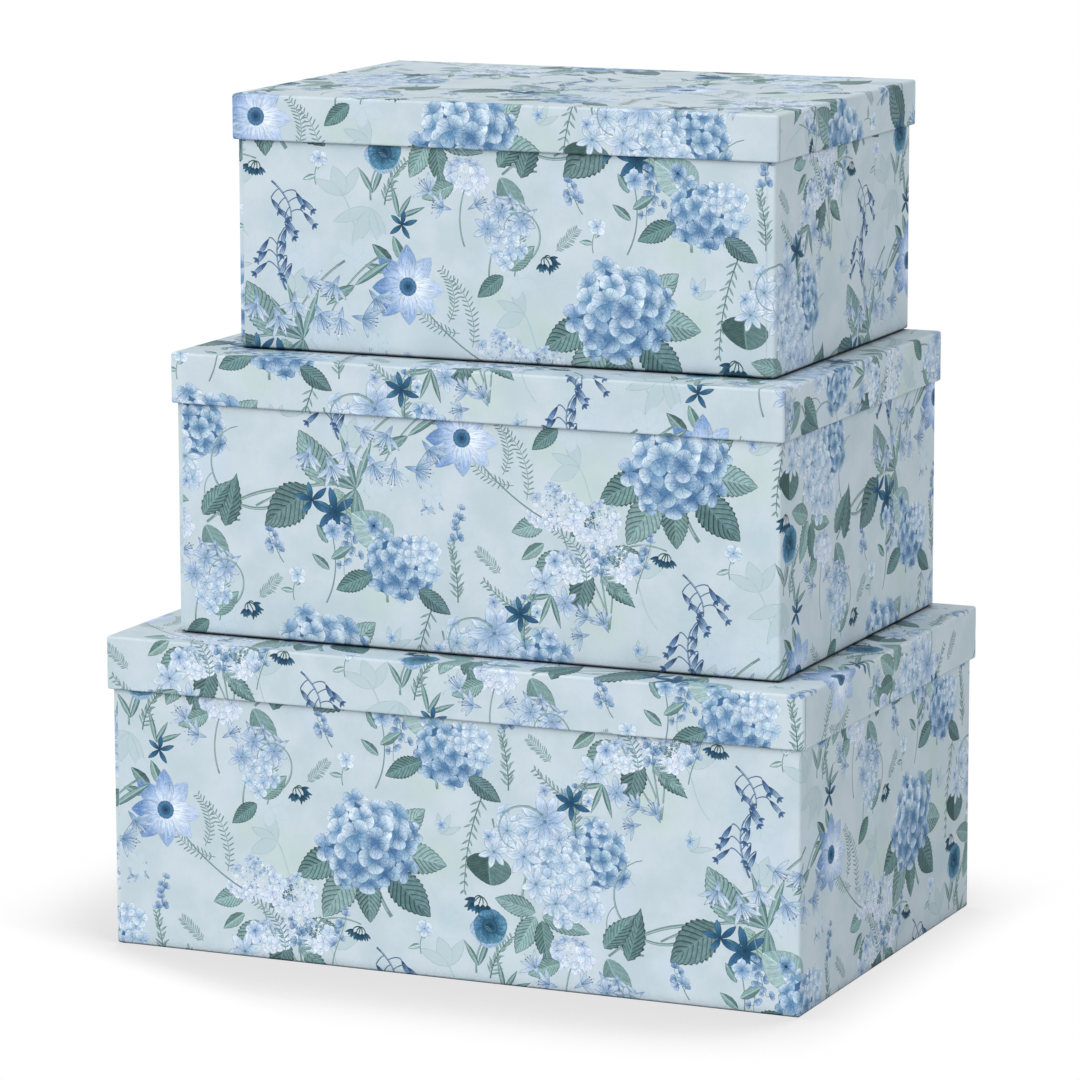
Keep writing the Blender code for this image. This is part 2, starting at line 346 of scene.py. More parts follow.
def lacecap(x, y, radius):
    """Flat head: a dome of tiny stars, open florets round its lower rim, a few on its upper."""
    count = int(radius * radius * 0.34)
    for i in range(count):
        angle = i * GOLDEN_ANGLE + rng.uniform(-0.2, 0.2)
        out = radius * 0.92 * math.sqrt((i + 0.5) / count)
        t = rng.random()
        colour = rng.choice((PALE_LILAC, SOFT_BLUE, WHITE_LILAC, WHITE_LILAC, PERI, PALE_BLUE,
                             MID_BLUE))
        px = x + out * math.cos(angle)
        py = y + 0.15 * radius + 0.72 * out * math.sin(angle)
        spark(px, py, rng.uniform(1.3, 2.2), vary(colour, 6), rng.choice((4, 5, 5)))
        if t < 0.35:
            dot(px, py, 0.42, between(LINE_BLUE, PERI), n=4)
    count = 9
    for i in range(count):
        heading = 180 + i * 180 / (count - 1) + rng.uniform(-10, 10)
        out = radius * rng.uniform(0.62, 1.05)
        t = math.radians(heading)
        bloom(x + out * math.cos(t), y + 0.85 * out * math.sin(t), rng.uniform(4.3, 5.8),
              rng.uniform(0, 72), 5, vary(between(SOFT_BLUE, PALE_LILAC), 5),
              vary((224, 230, 241), 4), squash=rng.uniform(0.65, 0.95), tilt=heading,
              width=0.98, form=(1.4, 0.5), points=5, eye=between(DENIM, PERI))
    for _ in range(4):
        t = math.radians(rng.uniform(20, 160))
        out = radius * rng.uniform(0.75, 1.05)
        bloom(x + out * math.cos(t), y + 0.8 * out * math.sin(t), rng.uniform(3.2, 4.2),
              rng.uniform(0, 72), 5, between(PERI, SOFT_BLUE), vary(PALE_LILAC, 5),
              squash=0.6, tilt=90, width=0.98, form=(1.4, 0.5), points=5, eye=DENIM)


def small_flower(x, y, radius, tip, base, eye, n=5, width=0.95):
    heading = rng.uniform(0, 72)
    for i in range(n):
        blade(x, y, heading + i * 360 / n, radius * rng.uniform(0.9, 1.1), radius * width, PETAL,
              vary(base, 6), vary(tip, 6), 1.35, 0.62, 0, n=4)
    dot(x, y, radius * 0.17, eye)


def alternate(n):
    """Even petals first, so that the odd ones overlap them."""
    return list(range(0, n, 2)) + list(range(1, n, 2))


def anemone(x, y, radius, turn):
    """Eight pointed petals, pale at the base, round a dark eye."""
    for i in alternate(8):
        heading = turn + i * 45 + rng.uniform(-4, 4)
        lit = 0.5 + 0.5 * math.cos(math.radians(heading - 315))
        blade(x, y, heading, radius * rng.uniform(0.98, 1.10), radius * 0.56, PETAL,
              blend((196, 212, 234), (232, 238, 245), lit),
              blend((98, 140, 192), (186, 204, 230), lit), 1.02, 0.86,
              rng.uniform(-0.2, 0.2), n=9)
    disc(x, y, radius * 0.245, (44, 92, 136), (84, 132, 170), n=16)
    disc(x + 0.1, y, radius * 0.13, (30, 64, 96), (60, 108, 146), n=10)
    for i in range(14):
        heading = i * 360 / 14 + rng.uniform(-8, 8)
        dot(*polar(x, y, radius * 0.225, heading), 0.38, (120, 160, 190), n=4)


def clematis(x, y, radius, n, turn, soft=True):
    """Open star of lined petals."""
    for i in alternate(n):
        heading = turn + i * 360 / n + rng.uniform(-5, 5)
        blade(x, y, heading, radius * rng.uniform(0.9, 1.05), radius * 0.44, PETAL,
              vary(PERI if soft else SOFT_BLUE, 6),
              vary(blend(WHITE_LILAC, SOFT_BLUE, 0.35 if soft else 0.15), 5), 1.08, 0.74,
              rng.uniform(-0.25, 0.25))
    for i in range(9):
        heading = i * 40 + rng.uniform(-9, 9)
        reach = radius * 0.17
        stroke([(x, y), polar(x, y, reach * 0.6, heading), polar(x, y, reach, heading)],
               0.35, 0.6, (150, 172, 190))
    dot(x, y, radius * 0.07, DENIM, n=7)


def trumpet(x, y, radius, turn):
    """Deep blue funnel flower seen half from the side."""
    back = polar(x, y, 2.0, turn + 180)
    for k in range(5):
        blade(*back, turn + 200 + (k - 2) * 38, radius * rng.uniform(0.85, 1.0), radius * 0.9,
              PETAL, blend(DENIM, PERI, 0.4), blend(PERI, SOFT_BLUE, rng.random() * 0.6),
              1.3, 0.55, rng.uniform(-0.2, 0.2), n=7)
    for k in range(6):
        blade(x, y, turn + k * 60 + rng.uniform(-7, 7), radius * rng.uniform(0.82, 0.98),
              radius * 1.02, PETAL, (40, 92, 122), between(TEAL_LIGHT, DENIM), 1.4, 0.5,
              rng.uniform(-0.15, 0.15), n=7)
    disc(x, y, radius * 0.42, (22, 62, 84), (52, 104, 134), n=14, squash=0.8,
         heading=turn + 90)
    for k in range(4):
        stroke([polar(x, y, reach, turn + 130 + k * 30) for reach in (0.9, 1.8, 2.9)],
               0.12, 0.28, (132, 166, 190))


def teal_star(x, y, radius, turn, n=6):
    for k in range(n):
        blade(x, y, turn + k * 360 / n + rng.uniform(-10, 10), radius * rng.uniform(0.85, 1.1),
              radius * 0.34, PETAL, (40, 92, 124), between(TEAL_LIGHT, DEEP_BLUE),
              1.05, 0.7, rng.uniform(-1.0, 1.0))
    dot(x, y, radius * 0.09, (30, 66, 90))


def navy_bells(x, y, radius, turn):
    """Cluster of nodding dark bells on short stalks."""
    for k in range(5):
        heading = turn + (k - 2) * 33 + rng.uniform(-8, 8)
        cx, cy = polar(x, y, radius * rng.uniform(0.30, 0.62), heading)
        stroke(bezier((x, y), (x, y + 1.5), (cx, cy + 1.5), (cx, cy), 5), 0.7, 0.6, LEAF_DARK)
        nod = heading * 0.5 - 45
        for j in (-1, 1, 0):
            tone = rng.random()
            blade(cx, cy, nod + j * 21, radius * rng.uniform(0.55, 0.72), radius * 0.21, PETAL,
                  blend(NAVY, TEAL, tone * 0.6), blend(TEAL, TEAL_LIGHT, 0.2 + tone * 0.6),
                  1.0, 0.75, j * rng.uniform(0.3, 0.9), n=6)


def lily(x, y, radius, turn, deep=0.0):
    """Narrow recurved petals fanning from a short tube."""
    blade(*polar(x, y, 0.55 * radius, turn + 180), turn, radius * 0.95, radius * 0.30, PETAL,
          blend(PERI, DENIM, deep), blend(PALE_LILAC, PERI, deep), 1.4, 0.6, 0, n=6)
    for k in (-2, 2, -1, 1, 0):
        heading = turn + k * 29 + rng.uniform(-6, 6)
        base = blend(between(SOFT_BLUE, PERI), DENIM, deep)
        tip = blend(between(WHITE_LILAC, PALE_LILAC), SOFT_BLUE, deep)
        blade(x, y, heading, radius * rng.uniform(0.85, 1.12), radius * 0.25, PETAL, base, tip,
              0.95, 0.75, 0.9 * np.sign(k) * rng.uniform(0.5, 1.6))
    for k in range(3):
        heading = turn + (k - 1) * 14
        reach = radius * 0.72
        end = polar(x, y, reach, heading)
        stroke([(x, y), polar(x, y, reach * 0.6, heading), end], 0.22, 0.3, LINE_BLUE)
        dot(*end, 0.5, LINE_BLUE, n=5)


def tube_spray(x, y, heading, size):
    """Arching stalk with long tubular flowers, drawn in dark blue with a pale stripe."""
    t = math.radians(heading)
    dx, dy = math.cos(t), math.sin(t)
    line = bezier((x, y), (x + size * 0.35 * dx + -dy * 4, y + size * 0.35 * dy + dx * 4),
                  (x + size * 0.75 * dx + -dy * 5, y + size * 0.75 * dy + dx * 5),
                  (x + size * dx, y + size * dy), 9)
    stroke(line, 1.2, 0.7, LINE_BLUE, light=SOFT_BLUE)
    for k in range(7):
        px, py = line[2 + k]
        side = 1 if k % 2 else -1
        reach = rng.uniform(6.5, 10) * (1.05 - 0.05 * k)
        aim = heading + side * rng.uniform(48, 74)
        toward = math.cos(math.radians(aim))
        end_x, end_y = polar(px, py, reach, aim)
        end_y += 1.0
        near_x, near_y = polar(px, py, reach * 0.4, aim)
        stroke(bezier((px, py), (near_x, near_y + 2.2), (end_x - 0.8 * toward, end_y + 1.6),
                      (end_x, end_y), 5), 0.55, 0.75, LINE_BLUE)
        hang = -90 + side * -rng.uniform(18, 52) * (1 if toward < 0 else -1)
        length = rng.uniform(8.5, 11.5)
        blade(end_x, end_y, hang, length, 2.9, PETAL, (56, 90, 134),
              between(MID_BLUE, SOFT_BLUE), 1.35, 0.55, rng.uniform(-0.6, 0.6), n=6)
        mouth = polar(end_x, end_y, length * 0.84, hang)
        for j in (-1, 1, 0):
            blade(*mouth, hang + j * 42, 3.1, 1.6, PETAL, (64, 98, 142),
                  between(MID_BLUE, DENIM), 1.0, 0.75, j * 0.5, n=4)


def pea_sprig(x, y, heading, size):
    """Fine stalk with small two-lobed blue flowers."""
    t = math.radians(heading)
    line = bezier((x, y), (x + size * .3 * math.cos(t + 0.2), y + size * .3 * math.sin(t + 0.2)),
                  (x + size * .7 * math.cos(t - 0.1), y + size * .7 * math.sin(t - 0.1)),
                  (x + size * math.cos(t), y + size * math.sin(t)), 9)
    stroke(line, 0.7, 0.3, STEM)
    for k in range(3, 10):
        px, py = line[k]
        aim = heading + rng.uniform(-100, 100)
        radius = rng.uniform(3.2, 5.0) * (1.15 - 0.05 * k)
        qx, qy = polar(px, py, 1.6, aim)
        stroke([(px, py), ((px + qx) / 2, (py + qy) / 2), (qx, qy)], 0.35, 0.35, STEM)
        for spread, wide in ((-38, 0.9), (38, 0.9), (0, 0.55)):
            tone = rng.random()
            blade(qx, qy, aim + spread, radius, radius * wide, PETAL,
                  blend(MID_BLUE, DENIM, tone), blend(PALE_LILAC, PERI, tone), 1.4, 0.6, 0, n=5)


def rosemary(x, y, heading, size, tone=LEAF_GREEN):
    t = math.radians(heading)
    dx, dy = math.cos(t), math.sin(t)
    bow = rng.uniform(-4, 4)
    line = bezier((x, y), (x + size * .33 * dx + -dy * bow, y + size * .33 * dy + dx * bow),
                  (x + size * .66 * dx + -dy * bow, y + size * .66 * dy + dx * bow),
                  (x + size * dx, y + size * dy), 12)
    stroke(line, 0.8, 0.4, tone)
    for k in range(1, 13):
        for side in (-1, 1):
            length = rng.uniform(4.5, 7.0) * (1.1 - 0.045 * k)
            blade(*line[k], heading + side * rng.uniform(28, 52), length, 1.15, LEAF,
                  vary(tone, 10), vary(SAGE, 10), 0.9, 0.8, side * rng.uniform(-0.5, 1.0), n=4)


def curl(x, y, heading, advance, turns):
    """Points of a curling line and the heading at each."""
    points, headings = [(x, y)], [heading]
    for turn in turns:
        heading += turn
        points.append(polar(*points[-1], advance, heading))
        headings.append(heading)
    return points, headings


def fern(x, y, heading, size, turn, tone=STEM):
    """Thin curling stalk with rows of tiny leaflets."""
    steps = 14
    points, headings = curl(x, y, heading, size / steps, [turn / steps] * steps)
    stroke(points, 0.45, 0.25, tone)
    for k in range(1, steps + 1):
        for side in (-1, 1):
            length = (3.0 + 1.6 * math.sin(math.pi * k / steps)) * rng.uniform(0.8, 1.1)
            blade(*points[k], headings[k] + side * rng.uniform(48, 66), length, 0.95, PLAIN,
                  vary(tone, 8), tone, 1.0, 0.8, 0, n=3)


def tendril(x, y, heading, size, turn, width):
    steps = 22
    turns = [turn / steps * (0.6 + 0.8 * k / steps) for k in range(steps)]
    stroke(curl(x, y, heading, size / steps, turns)[0], width, 0.5, SAGE_MID, light=SAGE_PALE)


def ghost_leaf(x, y, heading, length, width):
    blade(x, y, heading, length, width, GHOST, blend(GROUND, SAGE, 0.30),
          blend(GROUND, SAGE_MID, 0.5), 0.9, 0.85, rng.uniform(-.5, .5))


def ghost_flower(x, y, radius, n=6):
    heading = rng.uniform(0, 60)
    for k in range(n):
        blade(x, y, heading + k * 360 / n + rng.uniform(-6, 6), radius * rng.uniform(0.85, 1.1),
              radius * 0.6, GHOST, blend(GROUND, PALE_LILAC, 0.35),
              blend(GROUND, SOFT_BLUE, 0.55), 1.25, 0.65, 0, n=7)


def wash(x, y, radius, colour):
    add(ring(x, y, radius, 16), WASH, colour, colour, (x, y), (1, 0), radius, radius,
        seed=rng.random())


def stem(start, end, width0, width1, bow, colour=STEM):
    start, end = np.array(start, float), np.array(end, float)
    d = end - start
    normal = np.array([-d[1], d[0]]) / max(np.linalg.norm(d), 1e-6)
    line = bezier(start, start + d * 0.33 + normal * bow, start + d * 0.67 + normal * bow * 0.8,
                  end, 12)
    stroke(line, width0, width1, colour, light=STEM_LIGHT)


# --- groups, each drawn round its own centre and then carried to its place in the repeat

DARK = True      # sixth entry of a ribbed leaf: x, y, heading, length, width, dark


def ground_tints():
    """Soft tints and ghost plants that sink into the ground."""
    for _ in range(16):
        wash(rng.uniform(0, REPEAT_X), rng.uniform(0, REPEAT_Y), rng.uniform(12, 30),
             rng.choice(((208, 222, 224), (188, 208, 216), (204, 217, 232), (196, 214, 208))))
    for x, y, heading in ((166, 186, 20), (96, 66, 110), (196, 8, 60), (8, 118, 200),
                          (126, 12, 15), (186, 132, 250), (84, 206, 160)):
        for k in range(3):
            ghost_leaf(x, y, heading + k * 46, rng.uniform(15, 24), rng.uniform(6, 10))
        stroke(bezier((x, y), (x + 6, y - 8), (x + 4, y - 18), (x + 14, y - 28), 8), 0.7, 0.5,
               blend(GROUND, SAGE, 0.4))
    for spot in ((178, 168, 11), (92, 84, 12), (150, 62, 10), (14, 92, 13), (202, 206, 12),
                 (60, 226, 10), (168, 214, 8)):
        ghost_flower(*spot, n=rng.choice((5, 6, 7)))


def blue_mophead():
    """Blue mophead over a ring of serrated leaves."""
    stem((58, 112), (52, 150), 2.2, 1.6, 5)
    for heading, length, dark in ((192, 30, True), (232, 33, False), (262, 26, True),
                                  (306, 34, True), (344, 29, False), (24, 24, False)):
        a = math.radians(heading)
        ribbed_leaf(50 + 17 * math.cos(a), 150 + 15 * math.sin(a), heading + rng.uniform(-8, 8),
                    length, length * 0.56, bend=rng.uniform(-0.3, 0.3), dark=dark)
    hydrangea(50, 152, 29)


def lacecaps():
    """Lacecaps over serrated leaves."""
    for head in ((108, 132), (127, 122), (112, 106), (132, 100)):
        stem((118, 66), head, 1.1, 0.8, rng.uniform(-7, 7))
    each(ribbed_leaf, (104, 112, 214, 25, 14), (116, 100, 236, 27, 14, DARK),
         (128, 104, -22, 22, 12, DARK), (100, 128, 176, 20, 11))
    hanging_leaf(124, 92, 300, 22, 9)
    ribbed_leaf(112, 118, 30, 22, 11, DARK)
    small_leaf(96, 118, 196, 16, 7)
    each(lacecap, (132, 98, 11), (110, 104, 11), (130, 121, 13), (108, 134, 14.5))


def dark_eyed_star():
    """Dark-eyed star flower on a feathery stalk."""
    stem((142, 128), (127, 186), 0.9, 0.7, 5)
    each(fern, (138, 150, 150, 34, -70), (136, 158, 20, 30, 80), (140, 140, 40, 38, 60),
         (132, 172, 160, 22, -50))
    each(small_leaf, (126, 200, 100, 16, 7, LEAF_DARK), (121, 199, 128, 13, 5),
         (132, 199, 74, 14, 6))
    anemone(127, 186, 20.5, 12)


def pale_mixed_head():
    stem((40, 20), (30, 60), 1.5, 1.2, 4)
    stem((2, 64), (30, 50), 1.1, 0.8, -6)
    rosemary(-8, 74, -78, 54)
    rosemary(4, 82, 122, 30)
    each(ribbed_leaf, (44, 30, 188, 24, 11), (45, 28, 262, 24, 12), (48, 30, 8, 28, 10),
         (49, 28, 300, 24, 11, DARK), (52, 34, 48, 20, 9))
    blade(8, 46, -72, 17, 26, LEAF, LEAF_DARK, SAGE_MID, 0.8, 0.6, 0.2, n=10, seed=0.3)
    hydrangea(62, 74, 20, size=7.6)
    hydrangea(43, 60, 18, pale=True, size=7.4)
    loose_florets(56, 48, 17, 15)
    loose_florets(19, 66, 14, 10, (5.0, 7.0))
    clematis(29, 77, 15.5, 9, 10)
    for x, y, radius, turn in ((12, 62, 10, 60), (26, 54, 11, 20), (10, 48, 9, 100),
                               (38, 44, 10, 40), (52, 40, 9.5, 0), (64, 56, 9, 30),
                               (40, 72, 8, 75)):
        clematis(x, y, radius, rng.choice((5, 6)), turn, soft=False)
    pea_sprig(34, 86, 78, 26)
    navy_bells(13, 22, 9.5, -80)
    for spot in ((58, 90, 4.6), (22, 92, 4.2), (70, 44, 4.0), (4, 54, 4.2)):
        small_flower(*spot, PALE_LILAC, PERI, DENIM)


def leaves_and_tendril():
    """Serrated pair and a long tendril."""
    stem((150, 58), (186, 96), 1.9, 1.2, -5)
    stem((168, 74), (206, 120), 2.2, 1.4, -9)
    tendril(170, 78, 74, 92, -212, 2.1)
    tendril(190, 108, 40, 40, -150, 1.1)
    each(ribbed_leaf, (163, 70, 62, 35, 21, DARK, 0.35), (158, 64, -38, 32, 17, False, 0.3),
         (152, 62, 140, 22, 12))
    hanging_leaf(196, 116, 280, 30, 12, 0.5)
    hanging_leaf(210, 118, 262, 27, 11, -0.3)
    smooth_leaf(206, 122, 150, 30, 15, -0.4)
    for k in range(4):
        lily(182 + 7 * k, 128 + 4 * (k % 2), 7.5, 60 + 30 * k)


def narrow_trumpets():
    """Trumpets of narrow petals with straps, and teal stars."""
    stem((120, 2), (160, 24), 1.3, 0.8, -5, colour=SAGE_MID)
    stem((140, -2), (188, 26), 1.4, 0.9, -6, colour=SAGE_MID)
    straps(178, 30, (235, 262, 300, 322, 20), 27, 4.6)
    straps(139, 12, (20, 8, 192), 25, 4.2)
    straps(178, 30, (82, 60), 22, 4.2)
    for spot in ((130, 22, 11, 110), (141, 30, 12, 150), (153, 26, 12, 60), (164, 20, 12, 100),
                 (150, 8, 11, 40), (176, 10, 11, 70), (188, 14, 12, 95), (198, 4, 11, 60),
                 (164, 2, 10, 130)):
        lily(*spot, deep=rng.choice((0.0, 0.0, 0.15, 0.35)))
    teal_star(194, 38, 14, 20)
    teal_star(205, 28, 11, -30, 5)
    pea_sprig(180, 32, 62, 44)
    pea_sprig(187, 30, 84, 34)


def small_mophead():
    """Mid-blue mophead with a broad green leaf."""
    smooth_leaf(92, 22, 150, 28, 22, 0.3, light=True)
    stem((96, -8), (96, 18), 1.6, 1.2, 3)
    hydrangea(98, 12, 20, size=7.8)
    loose_florets(112, 20, 10, 7, (5.0, 6.8))
    ribbed_leaf(84, 4, 214, 23, 11, DARK)
    ribbed_leaf(112, 4, -24, 22, 10, DARK)
    small_flower(80, 30, 5.5, SOFT_BLUE, DENIM, NAVY, n=4, width=1.1)
    navy_bells(20, 132, 7.5, -95)
    stem((-4, 128), (20, 134), 1.1, 0.8, 4)


def tubes_and_fronds():
    tube_spray(92, 148, 96, 30)
    tube_spray(84, 206, -62, 24)
    fern(30, 198, 84, 34, 76, SAGE_MID)
    rosemary(36, 206, -40, 22, SAGE_MID)
    pea_sprig(58, 194, 74, 30)
    pea_sprig(40, 194, 100, 22)
    lacecap(196, 214, 10)
    ribbed_leaf(190, 208, 200, 20, 10)
    stem((196, 176), (196, 206), 1.0, 0.8, 4)
    each(lily, (176, 204, 10, 130), (184, 196, 9, 170), (202, 198, 9, 30))
    clematis(6, 196, 12, 6, 15, soft=False)
    clematis(18, 186, 9, 6, 40)
    small_flower(12, 208, 5.5, PALE_LILAC, PERI, DENIM)
    small_flower(2, 180, 5, WHITE_LILAC, SOFT_BLUE, DENIM)
    straps(10, 190, (200, 250, 290), 18, 3.2)
    straps(158, 190, (60, 100, 20), 17, 3.0)
    teal_star(160, 186, 8.5, 5, 5)
    rosemary(150, 196, 62, 26)
    stem((84, 60), (88, 96), 0.9, 0.6, -5)
    each(small_leaf, (86, 78, 140, 13, 5), (87, 84, 30, 14, 5.5), (85, 92, 120, 12, 5))
    small_flower(88, 99, 6.0, PALE_BLUE, MID_BLUE, DENIM)


def pale_spray():
    """Pale spray, curling stalks and a loose small head."""
    stem((150, 150), (176, 176), 1.0, 0.6, 6)
    stem((164, 146), (170, 172), 0.8, 0.5, -3)
    fern(172, 150, 100, 26, -60, SAGE_MID)
    ribbed_leaf(162, 150, 20, 20, 9)
    ribbed_leaf(158, 148, 196, 19, 9, DARK)
    loose_florets(166, 164, 12, 9, (5.0, 7.0))
    each(clematis, (178, 172, 9, 6, 20), (158, 174, 9, 6, 130), (168, 180, 8.5, 6, 80))
    tendril(176, 152, 20, 46, 230, 1.2)
    navy_bells(184, 150, 8, -80)
    tendril(86, 60, 120, 48, 210, 1.3)
    rosemary(112, 58, 130, 34, SAGE_MID)
    rosemary(100, 44, 60, 28)
    pea_sprig(76, 100, 60, 26)
    each(lily, (140, 50, 9, 140, 0.2), (148, 44, 9, 100, 0.2), (134, 42, 8, 170, 0.2))
    teal_star(104, 62, 10, 15, 6)


def single_funnel():
    """A single funnel flower on its own stalk, drawn where it belongs."""
    stem((8, 122), (16, 146), 1.2, 0.8, 4)
    straps(9, 126, (60, 118), 17, 3.4)
    trumpet(16, 148, 11, 62)


# drawing function, its centre, where the centre goes in the repeat, turn in degrees
GROUPS = (
    (blue_mophead, (50, 148), (150, 66), 8),
    (lacecaps, (118, 108), (100, 22), 18),
    (dark_eyed_star, (130, 175), (38, 70), 35),
    (pale_mixed_head, (38, 58), (48, 186), -24),
    (leaves_and_tendril, (180, 92), (120, 150), 150),
    (narrow_trumpets, (165, 18), (180, 178), 200),
    (small_mophead, (98, 12), (196, 122), -12),
    (tubes_and_fronds, (0, 0), (70, 40), 0),
    (pale_spray, (168, 164), (88, 104), 20),
)


def place_group(draw, centre, to, turn):
    """Draw a group, turn it about its centre and carry it to its place."""
    mark = len(shapes)
    draw()
    c, s = math.cos(math.radians(turn)), math.sin(math.radians(turn))

    def turned(x, y):
        return x * c - y * s, x * s + y * c

    def moved(x, y):
        x, y = turned(x - centre[0], y - centre[1])
        return x + to[0], y + to[1]

    for i in range(mark, len(shapes)):
        shape = shapes[i]
        shapes[i] = shape._replace(points=np.stack(moved(*shape.points.T), 1),
                                   origin=moved(*shape.origin), axis=turned(*shape.axis))


CELL = 3.0                # mm, grid on which open ground is looked for
FILLERS = 62


def filler(x, y, kind):
    heading = rng.uniform(40, 140)
    if kind == 0:
        stem((x, y - 8), (x + 2, y + 5), 0.6, 0.4, 2)
        small_leaf(x, y - 3, heading + 60, 8, 3.2, SAGE_MID, SAGE_PALE)
        small_leaf(x + 1, y, heading - 60, 8, 3.2, SAGE_MID, SAGE_PALE)
        bloom(x + 2, y + 6, 5.4, rng.uniform(0, 72), 5, SOFT_BLUE, WHITE_LILAC, squash=0.85,
              tilt=70, form=(1.35, 0.5), eye=DENIM)
    elif kind == 1:
        fern(x - 3, y - 8, heading, 17, rng.uniform(-70, 70), blend(STEM, GROUND, 0.3))
    elif kind == 2:
        for k in range(3):
            ghost_leaf(x, y - 5, heading + k * 40 - 40, rng.uniform(10, 14), rng.uniform(3.5, 5))
        small_flower(x, y, 3.6, PALE_BLUE, PERI, DENIM)
    elif kind == 3:
        pea_sprig(x, y - 9, heading, 17)
    else:
        for side in (-1, 1):
            lily(x + 4 * side, y + rng.uniform(-2, 2), 7.0, 90 + side * 50, deep=0.1)
        ghost_flower(x, y + 6, 7.5)
        for _ in range(3):
            dot(x + rng.uniform(-7, 7), y + rng.uniform(-7, 7), 0.8, blend(PERI, GROUND, 0.3),
                n=5)


def fill_open_ground():
    """Small pale sprigs where the ground is still open."""
    nx, ny = int(REPEAT_X / CELL), int(REPEAT_Y / CELL)
    taken = np.zeros((nx, ny), bool)
    for shape in shapes:
        if shape.kind in (GHOST, WASH):
            continue
        low, high = shape.points.min(0) / CELL, shape.points.max(0) / CELL
        for i in range(int(math.floor(low[0])), int(math.ceil(high[0])) + 1):
            for j in range(int(math.floor(low[1])), int(math.ceil(high[1])) + 1):
                drop = (i // nx % 2) * ny // 2
                taken[i % nx, (j - drop) % ny] = True
    placed = 0
    for _ in range(2500):
        if placed >= FILLERS:
            break
        i, j = rng.randrange(nx), rng.randrange(ny)
        near = any(taken[(i + a) % nx, (j + b) % ny]
                   for a in range(-2, 3) for b in range(-2, 3))
        if near or not 3 < i < nx - 3:
            continue
        filler(i * CELL, j * CELL, placed % 5)
        placed += 1
        for a in range(-3, 4):
            for b in range(-3, 4):
                taken[(i + a) % nx, (j + b) % ny] = True

# ------------------------------------------------------------ printed sheets


def inside(points, outline):
    """Non-zero winding test of many points against one polygon."""
    x, y = points[:, 0][:, None], points[:, 1][:, None]
    a, b = outline, np.roll(outline, -1, axis=0)
    up = (a[:, 1] <= y) & (b[:, 1] > y)
    down = (a[:, 1] > y) & (b[:, 1] <= y)
    side = (b[:, 0] - a[:, 0]) * (y - a[:, 1]) - (x - a[:, 0]) * (b[:, 1] - a[:, 1])
    return (up & (side > 0)).sum(1) - (down & (side < 0)).sum(1) != 0


def clip_outline(outline, low, high):
    """Start and end points of the outline's edges, clipped to a rectangle."""
    a = outline
    d = np.roll(a, -1, axis=0) - a
    with np.errstate(divide="ignore", invalid="ignore"):
        to_low, to_high = (low - a) / d, (high - a) / d
    still = np.abs(d) < 1e-12
    outside = (a < low) | (a > high)
    enter = np.where(still, np.where(outside, 2.0, -1.0), np.minimum(to_low, to_high)).max(1)
    leave = np.where(still, np.where(outside, -1.0, 2.0), np.maximum(to_low, to_high)).min(1)
    t0, t1 = np.maximum(enter, 0.0), np.minimum(leave, 1.0)
    keep = t1 - t0 > 1e-6
    ends = np.empty((2 * keep.sum(), 2))
    ends[0::2] = (a + d * t0[:, None])[keep]
    ends[1::2] = (a + d * t1[:, None])[keep]
    return np.clip(ends, low, high)


def shown_edges(points, face, own):
    """Vertices and edges that part two different shapes, or lie on the border."""
    side = np.concatenate([face[:, (0, 1)], face[:, (1, 2)], face[:, (2, 0)]])
    side.sort(axis=1)
    who = np.tile(own, 3)
    order = np.lexsort((side[:, 1], side[:, 0]))
    side, who = side[order], who[order]
    same = np.zeros(len(side), bool)
    pair = (side[1:] == side[:-1]).all(1) & (who[1:] == who[:-1])
    same[1:] |= pair
    same[:-1] |= pair
    used, flat = np.unique(np.unique(side[~same], axis=0), return_inverse=True)
    return ([tuple(v) for v in points[used].tolist()],
            [tuple(e) for e in flat.reshape(-1, 2).tolist()])


